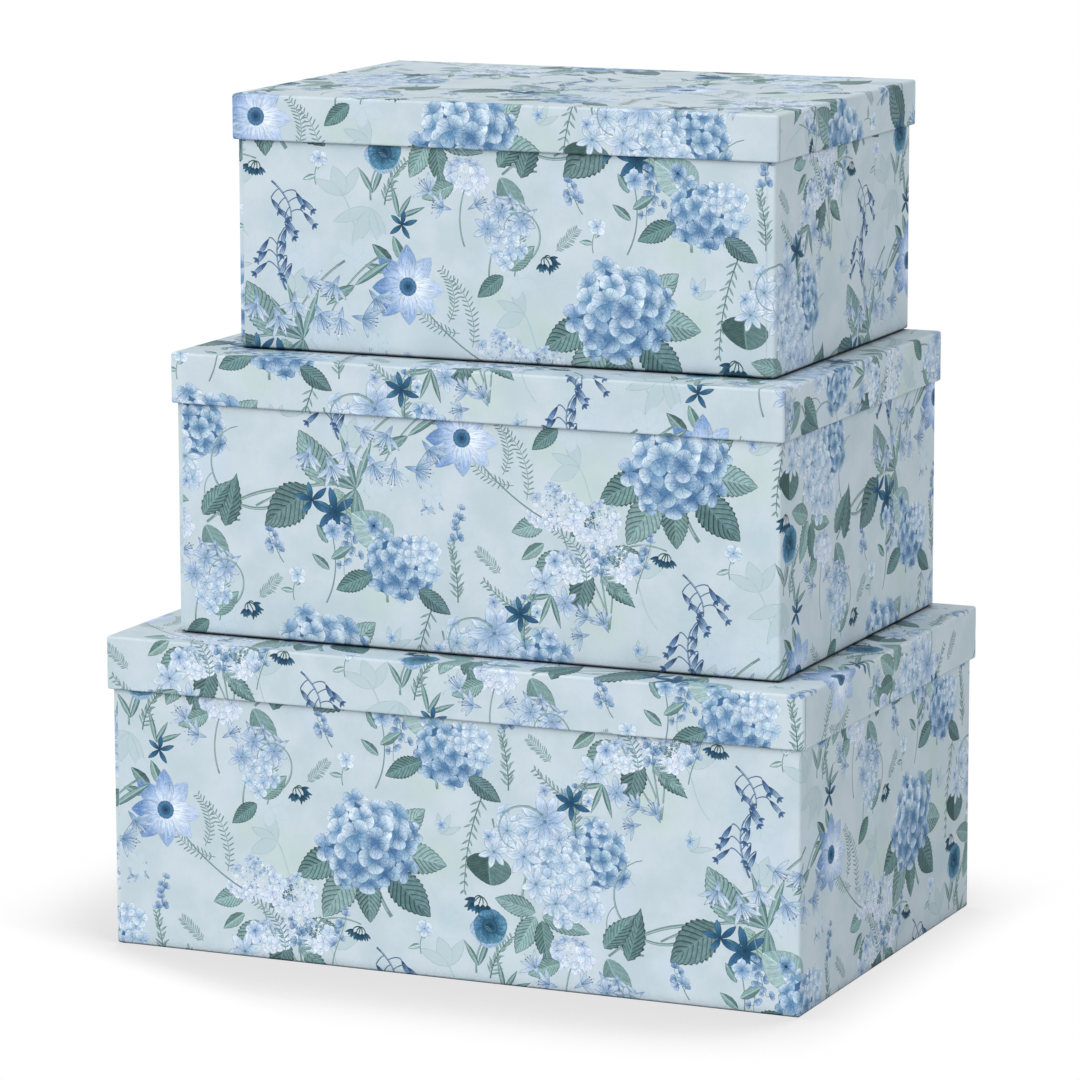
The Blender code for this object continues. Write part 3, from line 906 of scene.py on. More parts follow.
class Print:
    """The repeat as triangles: each knows the topmost copy over it (-1 for bare ground)."""

    TILES = (10, 11)

    def __init__(self):
        low = np.array([shape.points.min(0) for shape in shapes])
        high = np.array([shape.points.max(0) for shape in shapes])
        self.copies = []          # shape number, offset x, offset y
        for i in (-1, 0, 1):
            for j in (-2, -1, 0, 1):
                dx, dy = i * REPEAT_X, j * REPEAT_Y + (abs(i) % 2) * REPEAT_Y / 2
                hit = np.nonzero((low[:, 0] + dx < REPEAT_X) & (high[:, 0] + dx > 0) &
                                 (low[:, 1] + dy < REPEAT_Y) & (high[:, 1] + dy > 0))[0]
                self.copies += [(int(k), dx, dy) for k in hit]
        self.copies.sort()
        self.outlines = [shapes[k].points + (dx, dy) for k, dx, dy in self.copies]
        self.low = np.array([p.min(0) for p in self.outlines])
        self.high = np.array([p.max(0) for p in self.outlines])
        nx, ny = self.TILES
        tiles = [self.tile(REPEAT_X * i / nx, REPEAT_Y * j / ny, REPEAT_X * (i + 1) / nx,
                           REPEAT_Y * (j + 1) / ny) for i in range(nx) for j in range(ny)]
        self.tri = np.concatenate([tri for tri, _ in tiles])
        self.own = np.concatenate([own for _, own in tiles])

    def tile(self, x0, y0, x1, y1):
        near = np.nonzero((self.low[:, 0] < x1) & (self.high[:, 0] > x0) &
                          (self.low[:, 1] < y1) & (self.high[:, 1] > y0))[0]
        verts = [(x0, y0), (x1, y0), (x1, y1), (x0, y1)]
        edges = [(0, 1), (1, 2), (2, 3), (3, 0)]
        for k in near:
            ends = clip_outline(self.outlines[k], np.array((x0, y0)), np.array((x1, y1)))
            edges += [(n, n + 1) for n in range(len(verts), len(verts) + len(ends), 2)]
            verts += [tuple(v) for v in ends.tolist()]
        # once with every outline, then again with only the outlines that show
        points, face, own = self.triangulate(verts, edges, near)
        points, face, own = self.triangulate(*shown_edges(points, face, own), near)
        return points[face], own

    def triangulate(self, verts, edges, near):
        out = delaunay_2d_cdt([Vector(v) for v in verts], edges, [], 0, 1e-5, False)
        points = np.array([(v[0], v[1]) for v in out[0]])
        face = np.array(out[2], int)
        middle = points[face].mean(1)
        own = np.full(len(face), -1)
        for k in near:
            boxed = np.nonzero((middle > self.low[k]).all(1) & (middle < self.high[k]).all(1))[0]
            if len(boxed):
                own[boxed[inside(middle[boxed], self.outlines[k])]] = k
        return points, face, own


def cut(tri, data, axis, value):
    """Split triangles at one line: returns those below it and those above it."""
    dist = tri[:, :, axis] - value
    dist[np.abs(dist) < 1e-6] = 0.0
    below, above = (dist <= 0).all(1), (dist >= 0).all(1)
    cross = ~(below | above)
    low_tri, low_data = [tri[below]], [data[below]]
    high_tri, high_data = [tri[above & ~below]], [data[above & ~below]]
    tri, dist, data = tri[cross], dist[cross], data[cross]
    if len(tri):
        over = dist > 0
        one = over.sum(1) == 1             # a single corner above the line
        lone = np.where(one, over.argmax(1), (~over).argmax(1))
        row = np.arange(len(tri))
        (a, b, c), (da, db, dc) = ([values[row, (lone + k) % 3] for k in range(3)]
                                   for values in (tri, dist))
        p = a + (b - a) * (da / (da - db))[:, None]
        q = a + (c - a) * (da / (da - dc))[:, None]
        p[:, axis] = q[:, axis] = value
        tip = np.stack([a, p, q], 1)
        rest = np.concatenate([np.stack([p, b, c], 1), np.stack([p, c, q], 1)])
        rest_data, rest_one = np.concatenate([data, data]), np.concatenate([one, one])
        high_tri += [tip[one], rest[~rest_one]]
        high_data += [data[one], rest_data[~rest_one]]
        low_tri += [tip[~one], rest[rest_one]]
        low_data += [data[~one], rest_data[rest_one]]
    return ((np.concatenate(low_tri), np.concatenate(low_data)),
            (np.concatenate(high_tri), np.concatenate(high_data)))


def printed_triangles(printed, rect, offset):
    """The print over a rectangle: triangles and, for each, its copy and the repeat's shift."""
    x0, y0, x1, y1 = rect
    left, right = x0 + offset[0], x1 + offset[0]
    bottom, top = y0 + offset[1], y1 + offset[1]
    tri, data = [], []
    for i in range(int(math.floor(left / REPEAT_X)), int(math.floor(right / REPEAT_X)) + 1):
        drop = (abs(i) % 2) * REPEAT_Y / 2
        for j in range(int(math.floor((bottom - drop) / REPEAT_Y)),
                       int(math.floor((top - drop) / REPEAT_Y)) + 1):
            shift = np.array((i * REPEAT_X, j * REPEAT_Y + drop))
            t = printed.tri + shift
            keep = ((t[:, :, 0].max(1) > left) & (t[:, :, 0].min(1) < right) &
                    (t[:, :, 1].max(1) > bottom) & (t[:, :, 1].min(1) < top))
            row = np.empty((keep.sum(), 3))
            row[:, 0] = printed.own[keep]
            row[:, 1:] = shift
            tri.append(t[keep])
            data.append(row)
    tri, data = np.concatenate(tri) - offset, np.concatenate(data)
    for axis, low, high in ((0, x0, x1), (1, y0, y1)):
        tri, data = cut(tri, data, axis, low)[1]
        tri, data = cut(tri, data, axis, high)[0]
    return tri, data


def plain_triangles(rect):
    x0, y0, x1, y1 = rect
    tri = np.array([[(x0, y0), (x1, y0), (x1, y1)], [(x0, y0), (x1, y1), (x0, y1)]], float)
    return tri, np.full((2, 3), [-1, 0, 0], float)


def grid_lines(low, high, step=60.0):
    n = max(1, int(math.ceil((high - low) / step)))
    return [low + (high - low) * i / n for i in range(1, n)]


def write_ink(mesh, printed, tri, data, offset):
    """Attributes for the ink shader: one row per copy, then the raw edge and the bare ground."""
    # kind, ink a 1-3, ink b 4-6, origin 7-8, axis 9-10, length, half width, form 13-15, seed
    rows = []
    for k, dx, dy in printed.copies:
        shape = shapes[k]
        x, y = shape.origin
        rows.append((shape.kind,) + shape.inks + (x + dx, y + dy) + shape.axis + shape.form)
    blank = ink(*GROUND) * 2 + (0, 0, 1, 0, 10, 10, 1, 1, 0, 0.5)
    rows += [(EDGE_CUT,) + blank, (-1,) + blank]
    of_face = np.array(rows, float)[data[:, 0].astype(int)]
    of_corner = np.repeat(of_face, 3, axis=0)
    art = tri.reshape(-1, 2) + offset
    dx, dy = (art - of_corner[:, 7:9] - np.repeat(data[:, 1:], 3, axis=0)).T
    axis_x, axis_y = of_corner[:, 9], of_corner[:, 10]
    u = (dx * axis_x + dy * axis_y) / of_corner[:, 11]
    v = (-dx * axis_y + dy * axis_x) / of_corner[:, 12]
    for label, values in (("motif", np.stack([u, v], 1)), ("sheet", art / 1000.0)):
        attribute = mesh.attributes.new(label, "FLOAT2", "CORNER")
        attribute.data.foreach_set("vector", values.astype(np.float32).ravel())
    for label, cols in (("ink_a", (1, 2, 3, 0)), ("ink_b", (4, 5, 6, 16)),
                        ("form", (13, 14, 15, 12))):
        attribute = mesh.attributes.new(label, "FLOAT_COLOR", "FACE")
        attribute.data.foreach_set("color", of_face[:, cols].astype(np.float32).ravel())


def sheet_mesh(name, printed, rect, offset, place, folds_x=(), folds_y=(), plain=False,
               edge=()):
    """A piece of printed paper over rect (mm, flat); place() bends it and gives its normals.

    offset: the sheet's (0, 0) in the repeat. plain: bare ground only.
    edge: (x0, y0, x1, y1) strips shown as raw white paper.
    """
    x0, y0, x1, y1 = rect
    if plain:
        tri, data = plain_triangles(rect)
        folds_x = list(folds_x) + grid_lines(x0, x1)
        folds_y = list(folds_y) + grid_lines(y0, y1)
    else:
        tri, data = printed_triangles(printed, rect, offset)
    for axis, folds in ((0, folds_x), (1, folds_y)):
        for fold in sorted(folds):
            (low, low_data), (high, high_data) = cut(tri, data, axis, fold)
            tri, data = np.concatenate([low, high]), np.concatenate([low_data, high_data])
    area = np.cross(tri[:, 1] - tri[:, 0], tri[:, 2] - tri[:, 0])
    tri[area < 0] = tri[area < 0][:, ::-1]
    keep = np.abs(area) > 2e-6
    tri, data = tri[keep], data[keep]
    middle = tri.mean(1)
    for strip in edge:
        data[(middle > strip[:2]).all(1) & (middle < strip[2:]).all(1), 0] = -2

    # weld
    flat = tri.reshape(-1, 2)
    key = (np.round((flat[:, 0] - x0) * 5e3).astype(np.int64) * (1 << 32)
           + np.round((flat[:, 1] - y0) * 5e3).astype(np.int64))
    _, first, index = np.unique(key, return_index=True, return_inverse=True)
    points = flat[first]
    face = index.reshape(-1, 3)
    ok = (face[:, 0] != face[:, 1]) & (face[:, 1] != face[:, 2]) & (face[:, 0] != face[:, 2])
    face, tri, data = face[ok], tri[ok], data[ok]

    xyz, normal = place(points)
    count = len(face)
    mesh = bpy.data.meshes.new(name)
    mesh.vertices.add(len(points))
    mesh.vertices.foreach_set("co", xyz.astype(np.float32).ravel())
    mesh.loops.add(3 * count)
    mesh.loops.foreach_set("vertex_index", face.ravel().astype(np.int32))
    mesh.polygons.add(count)
    mesh.polygons.foreach_set("loop_start", np.arange(0, 3 * count, 3, dtype=np.int32))
    mesh.update(calc_edges=True)
    write_ink(mesh, printed, tri, data, offset)
    mesh.polygons.foreach_set("use_smooth", np.ones(count, bool))
    mesh.normals_split_custom_set_from_vertices(normal.astype(np.float32))
    obj = bpy.data.objects.new(name, mesh)
    bpy.context.scene.collection.objects.link(obj)
    return obj

# --------------------------------------------------------------- shader maths


class Value:
    """A node output; arithmetic on it adds Math nodes, [name] gives a sister output."""

    def __init__(self, socket):
        self.socket = socket

    def __getitem__(self, key): return Value(self.socket.node.outputs[key])
    def __add__(self, other): return maths("ADD", self, other)
    def __sub__(self, other): return maths("SUBTRACT", self, other)
    def __rsub__(self, other): return maths("SUBTRACT", other, self)
    def __mul__(self, other): return maths("MULTIPLY", self, other)
    def __rmul__(self, other): return maths("MULTIPLY", other, self)
    def __truediv__(self, other): return maths("DIVIDE", self, other)
    def __pow__(self, other): return maths("POWER", self, other)
    def __abs__(self): return maths("ABSOLUTE", self)


tree = None      # the node tree that the functions below add to


def start_material(name):
    global tree
    material = bpy.data.materials.new(name)
    material.use_nodes = True
    tree = material.node_tree
    tree.nodes.clear()
    return material


def finish(material, surface):
    put(tree.nodes.new("ShaderNodeOutputMaterial").inputs["Surface"], surface)
    return material


def put(socket, value):
    if isinstance(value, Value):
        tree.links.new(value.socket, socket)
    elif isinstance(value, tuple):
        socket.default_value = (*value, 1.0)[:len(socket.default_value)]
    elif value is not None:
        socket.default_value = value


def node(kind, inputs=None, output=0, **props):
    made = tree.nodes.new("ShaderNode" + kind)
    for name, value in props.items():
        setattr(made, name, value)
    for key, value in (inputs or {}).items():
        put(made.inputs[key], value)
    return Value(made.outputs[output])


def maths(operation, a, b=None, c=None, clamp=False):
    return node("Math", {0: a, 1: b, 2: c}, operation=operation, use_clamp=clamp)


def mad(a, factor, offset):
    return maths("MULTIPLY_ADD", a, factor, offset)


def clamp(a):
    return maths("ADD", a, 0.0, clamp=True)


def at_least(a, b):
    return maths("MAXIMUM", a, b)


def frac(a):
    return maths("FRACT", a)


def step(x, start, end):
    """Smooth 0 to 1 from start up to end, or 1 to 0 from end up to start if start > end."""
    falling = float(start > end)
    return node("MapRange", {"Value": x, "From Min": min(start, end),
                             "From Max": max(start, end), "To Min": falling,
                             "To Max": 1.0 - falling}, interpolation_type="SMOOTHSTEP")


def mix(a, b, t):
    return node("Mix", {0: t, 6: a, 7: b}, 2, data_type="RGBA", blend_type="MIX",
                clamp_factor=True)


def mix_number(a, b, t):
    return node("Mix", {0: t, 2: a, 3: b}, data_type="FLOAT", clamp_factor=True)


def scale(colour, factor):
    return node("VectorMath", {0: colour, "Scale": factor}, operation="SCALE")


def vector(x, y, z=0.0):
    return node("CombineXYZ", {0: x, 1: y, 2: z})


def split(value):
    x = node("SeparateXYZ", {0: value})
    return x, x[1], x[2]


def noise(at, scale, detail, rough, dims="2D"):
    return node("TexNoise", {"Vector": at, "Scale": scale, "Detail": detail,
                             "Roughness": rough}, "Fac", noise_dimensions=dims)


def attribute(name):
    return node("Attribute", attribute_name=name, attribute_type="GEOMETRY")


def bump(height, strength, distance, normal=None):
    return node("Bump", {"Strength": strength, "Distance": distance, "Height": height,
                         "Normal": normal}, "Normal")


def occlusion(samples, distance):
    return node("AmbientOcclusion", {"Distance": distance}, "AO", samples=samples)


def principled(colour, roughness, normal, specular=None):
    return node("BsdfPrincipled", {"Base Color": colour, "Roughness": roughness,
                                   "Specular IOR Level": specular, "Normal": normal})

# -------------------------------------------------------------- printed paper
# Every ink function takes the shape's two inks (base, tip) and places on its own axes:
# along runs 0 to 1 from base to tip, across runs -1 to 1 from side to side.


PAPER_GAIN = 1.0      # overall brightness of every paper


def petal_ink(base, tip, along, across, off_mid, width, outline, pool, lines):
    """Fine lines run from the base and spread; the tone goes from base to tip."""
    tone = clamp(step(along, 0.10, 0.92) + (pool - 0.5) * 0.55)
    petal = mix(base, tip, tone)
    petal = scale(petal, mad(step(lines, 0.30, 0.62), 0.34, 0.76))
    petal = mix(petal, scale(petal, 1.16), step(across, -0.9, 0.6) * 0.5)
    midline = step(abs(off_mid) * width, 0.30, 0.08)
    petal = mix(petal, scale(base, 0.78), midline * 0.35)
    return mix(petal, scale(mix(base, tip, 0.10), 0.58), outline * 0.85)


def leaf_ink(base, tip, along, across, side, rib, outline, pool, seed_shift):
    """Broad leaves: curved veins, light midrib, one half in shade."""
    sweep = along * 6.5 - side ** 0.75 * 1.9
    vein = abs(frac(sweep) - 0.5)
    leaf = mix(base, tip, clamp(step(across, -0.15, 0.15) * 0.55 + pool * 0.55))
    hatch = noise(vector(mad(sweep, 2.2, seed_shift), across * 0.8), scale=3.0, detail=3.0,
                  rough=0.65)
    leaf = scale(leaf, mad(step(vein, 0.0, 0.5), 0.22, 0.88))
    leaf = scale(leaf, mad(step(hatch, 0.3, 0.7), 0.28, 0.84))
    leaf = mix(leaf, scale(tip, 1.25), step(vein, 0.07, 0.02) * 0.35)
    leaf = mix(leaf, scale(tip, 1.35), rib * 0.75)
    return mix(leaf, scale(base, 0.5), outline * 0.7)


def ribbed_ink(base, tip, along, across, side, rib, outline, pool):
    """Ribbed leaves: quilted between closer, straight veins."""
    fold = frac(along * 10.0 - side * 2.6)
    quilt = step(fold, 0.0, 0.55)
    ribbed = mix(scale(base, 0.82), tip,
                 clamp(mad(quilt, 0.74, step(across, -0.2, 0.2) * 0.36)))
    ribbed = mix(ribbed, scale(tip, 1.32), step(fold, 0.90, 0.97) * 0.55)
    ribbed = mix(ribbed, scale(base, 0.44), step(fold, 0.14, 0.02) * 0.80)
    ribbed = scale(ribbed, mad(pool, 0.8, 0.76))
    ribbed = mix(ribbed, scale(tip, 1.30), rib * 0.65)
    return mix(ribbed, scale(base, 0.48), outline * 0.75)


def disc_ink(base, tip, rho, sheet):
    """Round shapes: seed heads and eyes."""
    stipple = noise(sheet, scale=1500.0, detail=1.0, rough=0.5)
    eye = mix(base, tip, clamp(step(rho, 0.15, 0.95) + (stipple - 0.5) * 1.5))
    return mix(eye, scale(base, 0.6), step(rho, 0.72, 0.98) * 0.6)


def floret_ink(base, tip, raw_along, raw_across, rho, turn, width, pool, seed):
    """Four petals with clefts between them; base in the petals, tip towards the middle."""
    theta = maths("ARCTAN2", raw_across, raw_along) - turn
    lobes = abs(maths("COSINE", theta * 2.0))
    reach = mad(lobes ** 0.55, 0.40, 0.60)
    near = rho / reach
    capped = maths("MINIMUM", lobes, 0.9999)
    cleft = rho * ((1.5708 - maths("ARCCOSINE", capped)) * 0.5) * width      # mm away
    which = maths("FLOOR", (theta + math.pi * 4.75) / (math.pi / 2))
    own = node("TexWhiteNoise", {"Vector": vector(which, seed * 91.0)}, "Value",
               noise_dimensions="2D")
    floret = mix(tip, base, clamp(step(near, 0.05, 0.62) * 1.15 + (pool - 0.62) * 0.7))
    floret = scale(floret, mad(own, 0.22, 0.89))
    floret = mix(floret, scale(base, 1.10),
                 step(near, 0.45, 0.75) * step(near, 0.98, 0.80) * 0.5)
    ray = noise(vector(theta * 5.0, mad(seed, 40.0, rho)), scale=1.6, detail=1.0, rough=0.5)
    floret = scale(floret, mad(ray, 0.20, 0.90))
    floret = mix(floret, scale(tip, 0.62),
                 step(cleft, 0.42, 0.06) * (step(near, 1.05, 0.35) * 0.8))
    floret = mix(floret, scale(tip, 0.55), step((1.0 - near) * width, 0.50, 0.08) * 0.72)
    return mix(floret, scale(tip, 0.5), step(rho, 0.14, 0.06) * 0.8)


def engrave(colours, sheet):
    """Fine strokes inside each (colour, dark, light): a dark line, a bare highlight beside."""
    etch = noise(sheet, scale=420.0, detail=1.0, rough=0.5)
    dark_line = step(abs(etch - 0.47), 0.030, 0.008)
    light_line = step(abs(etch - 0.545), 0.045, 0.012)
    out = []
    for colour, dark, light in colours:
        colour = mix(colour, scale(colour, 0.58), dark_line * dark)
        bright = step(split(colour)[1], 0.10, 0.42)
        colour = mix(colour, ink(226, 234, 242), light_line * (bright * light))
        out.append(scale(node("Gamma", {"Color": colour, "Gamma": 1.14}), 1.07))
    return out


def printed_paper(name):
    """Satin printed paper. The ink comes from each shape's own axes and two inks."""
    material = start_material(name)
    raw_along, raw_across, _ = split(attribute("motif")["Vector"])
    ink_a, ink_b, form = attribute("ink_a"), attribute("ink_b"), attribute("form")
    kind, seed, width = ink_a["Alpha"], ink_b["Alpha"], form["Alpha"]
    lean, power, bend = split(form["Vector"])
    base, tip = ink_a["Color"], ink_b["Color"]
    sheet = attribute("sheet")["Vector"]

    # axes within the shape
    along = clamp(raw_along)
    off_mid = raw_across - bend * (along * along)
    half = at_least(maths("SINE", math.pi * at_least(along, 0.0005) ** lean), 0.0005) ** power
    across = off_mid / at_least(half, 0.06)
    side = abs(across)
    to_rim = (1.0 - side) * half * width                 # mm to the outline
    hand = noise(attribute("sheet")["Vector"], scale=260.0, detail=2.0, rough=0.5)
    # the inked outline is pressed unevenly
    outline = step(to_rim, 0.66, 0.14) * mad(step(hand, 0.34, 0.60), 0.65, 0.35)
    seed_shift = seed * 37.0
    rib = step(abs(off_mid) * width, 0.55, 0.22)
    rho = maths("SQRT", raw_along * raw_along + raw_across * raw_across)

    # hand-painted unevenness, in the sheet's own scale
    grain = noise(sheet, scale=900.0, detail=3.0, rough=0.6)
    pool = noise(sheet, scale=330.0, detail=3.0, rough=0.6)
    lines = noise(vector(mad(across, 3.6, seed_shift), mad(along, 1.3, seed)),
                  scale=2.6, detail=2.0, rough=0.6)

    petal, leaf, ribbed, floret = engrave((
        (petal_ink(base, tip, along, across, off_mid, width, outline, pool, lines), 0.30, 0.30),
        (leaf_ink(base, tip, along, across, side, rib, outline, pool, seed_shift), 0.35, 0.14),
        (ribbed_ink(base, tip, along, across, side, rib, outline, pool), 0.35, 0.12),
        (floret_ink(base, tip, raw_along, raw_across, rho, lean, width, pool, seed), 0.25, 0.34),
    ), sheet)

    # pale outline shapes and tints that sink into the ground
    mottle = noise(sheet, scale=38.0, detail=4.0, rough=0.6)
    ground = mix(ink(194, 209, 216), ink(207, 218, 225), step(mottle, 0.25, 0.75))
    ghost = mix(ground, base, mad(lines, 0.5, 0.35))
    ghost = mix(ghost, tip, outline * 0.85)
    tint = mix(ground, base, step(rho, 0.96, 0.15) * mad(pool, 0.9, 0.15))
    plain = scale(base, mad(pool, 0.35, 0.82))

    colour = ground
    for number, choice in ((PLAIN, plain), (PETAL, petal), (LEAF, leaf), (RIBBED, ribbed),
                           (DISC, disc_ink(base, tip, rho, sheet)), (FLORET, floret),
                           (GHOST, ghost), (WASH, tint), (EDGE_CUT, ink(208, 216, 219))):
        colour = mix(colour, choice, maths("COMPARE", kind, float(number), 0.4))
    colour = scale(colour, mad(grain, 0.07, 0.965) * PAPER_GAIN)
    # painted shade: the colour sinks to near-black where two sheets almost touch, from an
    # ambient occlusion test
    depth = step(occlusion(samples=3, distance=0.011), 0.20, 0.64)
    colour = mix(mix(colour, ink(8, 28, 46), 0.92), colour, depth)

    # the sheet itself: fibre tooth, faint cockle, satin coat
    tooth = noise(sheet, scale=1400.0, detail=4.0, rough=0.65)
    cockle = noise(sheet, scale=26.0, detail=2.0, rough=0.5)
    normal = bump(tooth, strength=0.22, distance=0.00012)
    normal = bump(cockle, strength=0.5, distance=0.0016, normal=normal)
    roughness = mad(tooth - 0.5, 0.16, mad(pool, 0.10, 0.46))
    return finish(material, principled(colour, roughness, normal, specular=0.30))

# ------------------------------------------------------------------ the boxes


class Section:
    """A folded edge seen in section: distance along it -> inset, height and normal (mm).

    side: +1 if the outside is to the left of the path's direction of travel backwards from
    the box, as on a tray that is followed upwards; -1 for a lid that is followed downwards.
    """

    def __init__(self, start, side):
        self.at = start
        self.side = side
        self.parts = []          # start, length, function of the fraction along the part
        self.length = 0.0
        self.folds = []

    def line(self, inset, z):
        inset0, z0 = self.at
        length = math.hypot(inset - inset0, z - z0)
        out, up = (z - z0) / length * self.side, (inset - inset0) / length * self.side
        self.parts.append((self.length, length, lambda f: (
            inset0 + (inset - inset0) * f, z0 + (z - z0) * f, out, up)))
        self.length += length
        self.folds.append(self.length)
        self.at = (inset, z)

    def arc(self, inset, z, radius, start, end, steps):
        """start, end: degrees, 0 outwards and 90 up."""
        length = radius * math.radians(abs(end - start))

        def along(f):
            a = np.radians(start + (end - start) * f)
            out, up = np.cos(a), np.sin(a)
            return inset - radius * out, z + radius * up, out, up

        self.parts.append((self.length, length, along))
        self.folds += [self.length + length * k / steps for k in range(1, steps + 1)]
        self.length += length
        self.at = (inset - radius * math.cos(math.radians(end)),
                   z + radius * math.sin(math.radians(end)))

    def __call__(self, t):
        result = np.zeros((4, len(t)))
        for k, (start, length, along) in enumerate(self.parts):
            last = k == len(self.parts) - 1
            on = (t >= start - 1e-7) & ((t < start + length - 1e-7) | last)
            if k == 0:
                on |= t < start
            for row, values in zip(result, along(np.clip((t[on] - start) / length, 0, 1))):
                row[on] = values
        return result


class Box:
    """Place and size of a tray or lid, from its CAD wrap.

    Distance round it is measured on the outside, counter-clockwise from above, from the
    start of the front's straight part.
    """

    def __init__(self, node_name, turn, below=0.0):
        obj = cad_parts[node_name]
        co = np.array([tuple(obj.matrix_world @ v.co) for v in obj.data.vertices])
        low, high = (np.array(tuple(c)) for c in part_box(node_name))
        self.mid = (low + high) / 2
        self.turn = turn
        c, s = math.cos(-turn), math.sin(-turn)
        dx, dy = co[:, 0] - self.mid[0], co[:, 1] - self.mid[1]
        x, y = dx * c - dy * s, dx * s + dy * c
        self.half_x = (x.max() - x.min()) / 2 / MM
        self.half_y = (y.max() - y.min()) / 2 / MM
        self.base = float(co[:, 2].min()) - below * MM
        self.height = (float(co[:, 2].max()) - self.base) / MM
        # straight lengths, and where the right, back and left sides start
        self.len_x = lx = 2 * (self.half_x - CORNER_RADIUS)
        self.len_y = ly = 2 * (self.half_y - CORNER_RADIUS)
        self.total = 2 * (lx + ly + 2 * CORNER_ARC)
        self.right = lx + CORNER_ARC
        self.back = lx + CORNER_ARC + ly + CORNER_ARC
        self.left = 2 * lx + ly + 3 * CORNER_ARC

    def perimeter(self, s, inset):
        """Point and outward direction at distance s."""
        s = np.mod(s, self.total)
        radius = np.maximum(CORNER_RADIUS - inset, 0.5)
        cx, cy = self.half_x - inset - radius, self.half_y - inset - radius
        x, y, nx, ny = (np.zeros(len(s)) for _ in range(4))
        start = 0.0
        # straight: from, to (unit corners), outward; then its corner
        for (ax, ay), (bx, by), (ox, oy), length in (
                ((-1, -1), (1, -1), (0, -1), self.len_x), ((1, -1), (1, 1), (1, 0), self.len_y),
                ((1, 1), (-1, 1), (0, 1), self.len_x), ((-1, 1), (-1, -1), (-1, 0), self.len_y)):
            on = (s >= start) & (s <= start + length)
            f = (s[on] - start) / length
            x[on] = (ax + (bx - ax) * f) * cx[on] + ox * radius[on]
            y[on] = (ay + (by - ay) * f) * cy[on] + oy * radius[on]
            nx[on], ny[on] = ox, oy
            start += length
            on = (s > start) & (s < start + CORNER_ARC)
            a = math.atan2(oy, ox) + (s[on] - start) / CORNER_ARC * math.pi / 2
            nx[on], ny[on] = np.cos(a), np.sin(a)
            x[on] = bx * cx[on] + radius[on] * nx[on]
            y[on] = by * cy[on] + radius[on] * ny[on]
            start += CORNER_ARC
        return x, y, nx, ny

    def corner_folds(self, s0, s1, steps=8):
        """Distances between s0 and s1 where the sheet has to bend."""
        out, start = [], 0.0
        for length in (self.len_x, self.len_y) * 2:
            start += length
            out += [start + CORNER_ARC * k / steps for k in range(steps + 1)]
            start += CORNER_ARC
        return sorted(v + k * self.total for v in out for k in (-1, 0, 1)
                      if s0 + 1e-3 < v + k * self.total < s1 - 1e-3)

    def wrap(self, s, folded, lift):
        """World points and normals of a sheet round the box, lifted off it by lift."""
        inset, z, out, up = folded
        x, y, nx, ny = self.perimeter(s, inset)
        normal = np.stack([out * nx, out * ny, up], 1)
        return self.set_down(np.stack([x, y, z], 1) + normal * lift[:, None], normal)

    def set_down(self, xyz, normal):
        """Local mm to world metres."""
        c, s = math.cos(self.turn), math.sin(self.turn)
        out = np.stack([self.mid[0] + (xyz[:, 0] * c - xyz[:, 1] * s) * MM,
                        self.mid[1] + (xyz[:, 0] * s + xyz[:, 1] * c) * MM,
                        self.base + xyz[:, 2] * MM], 1)
        n = np.stack([normal[:, 0] * c - normal[:, 1] * s, normal[:, 0] * s + normal[:, 1] * c,
                      normal[:, 2]], 1)
        return out, n / np.linalg.norm(n, axis=1)[:, None]


def seam_lift(s, raised, height, reach):
    """How far the sheet stands off near its raised ends: (place, direction of the sheet)."""
    lift = np.zeros(len(s))
    for edge, way in raised:
        f = np.clip((s - edge) * way / reach, 0, 1)
        lift = np.maximum(lift, height * (1 - f * f * (3 - 2 * f)))
    return lift


def hand_over(sheets, body, wrap, paper):
    for k, obj in enumerate(sheets):
        obj.data.materials.append(paper)
        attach(obj, body)
        if k == 0:
            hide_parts(wrap)


def roll_offset(number):
    """Every sheet is cut a sixth of a repeat further along the roll, to the whole mm."""
    return np.array((REPEAT_X * number / 6, round(REPEAT_Y * number / 6)), float)


# tray seams, mm
SEAM_START = 1.2         # where the front sheet starts
SMALL_SHORT = 3.0        # the small box's front sheet stops this far before the corner
SEAM_OVERLAP = 4.0
BASE_SHOWN = 3.0         # printed this far before the bottom bend
INSIDE_SHOWN = 9.0       # printed this far down inside


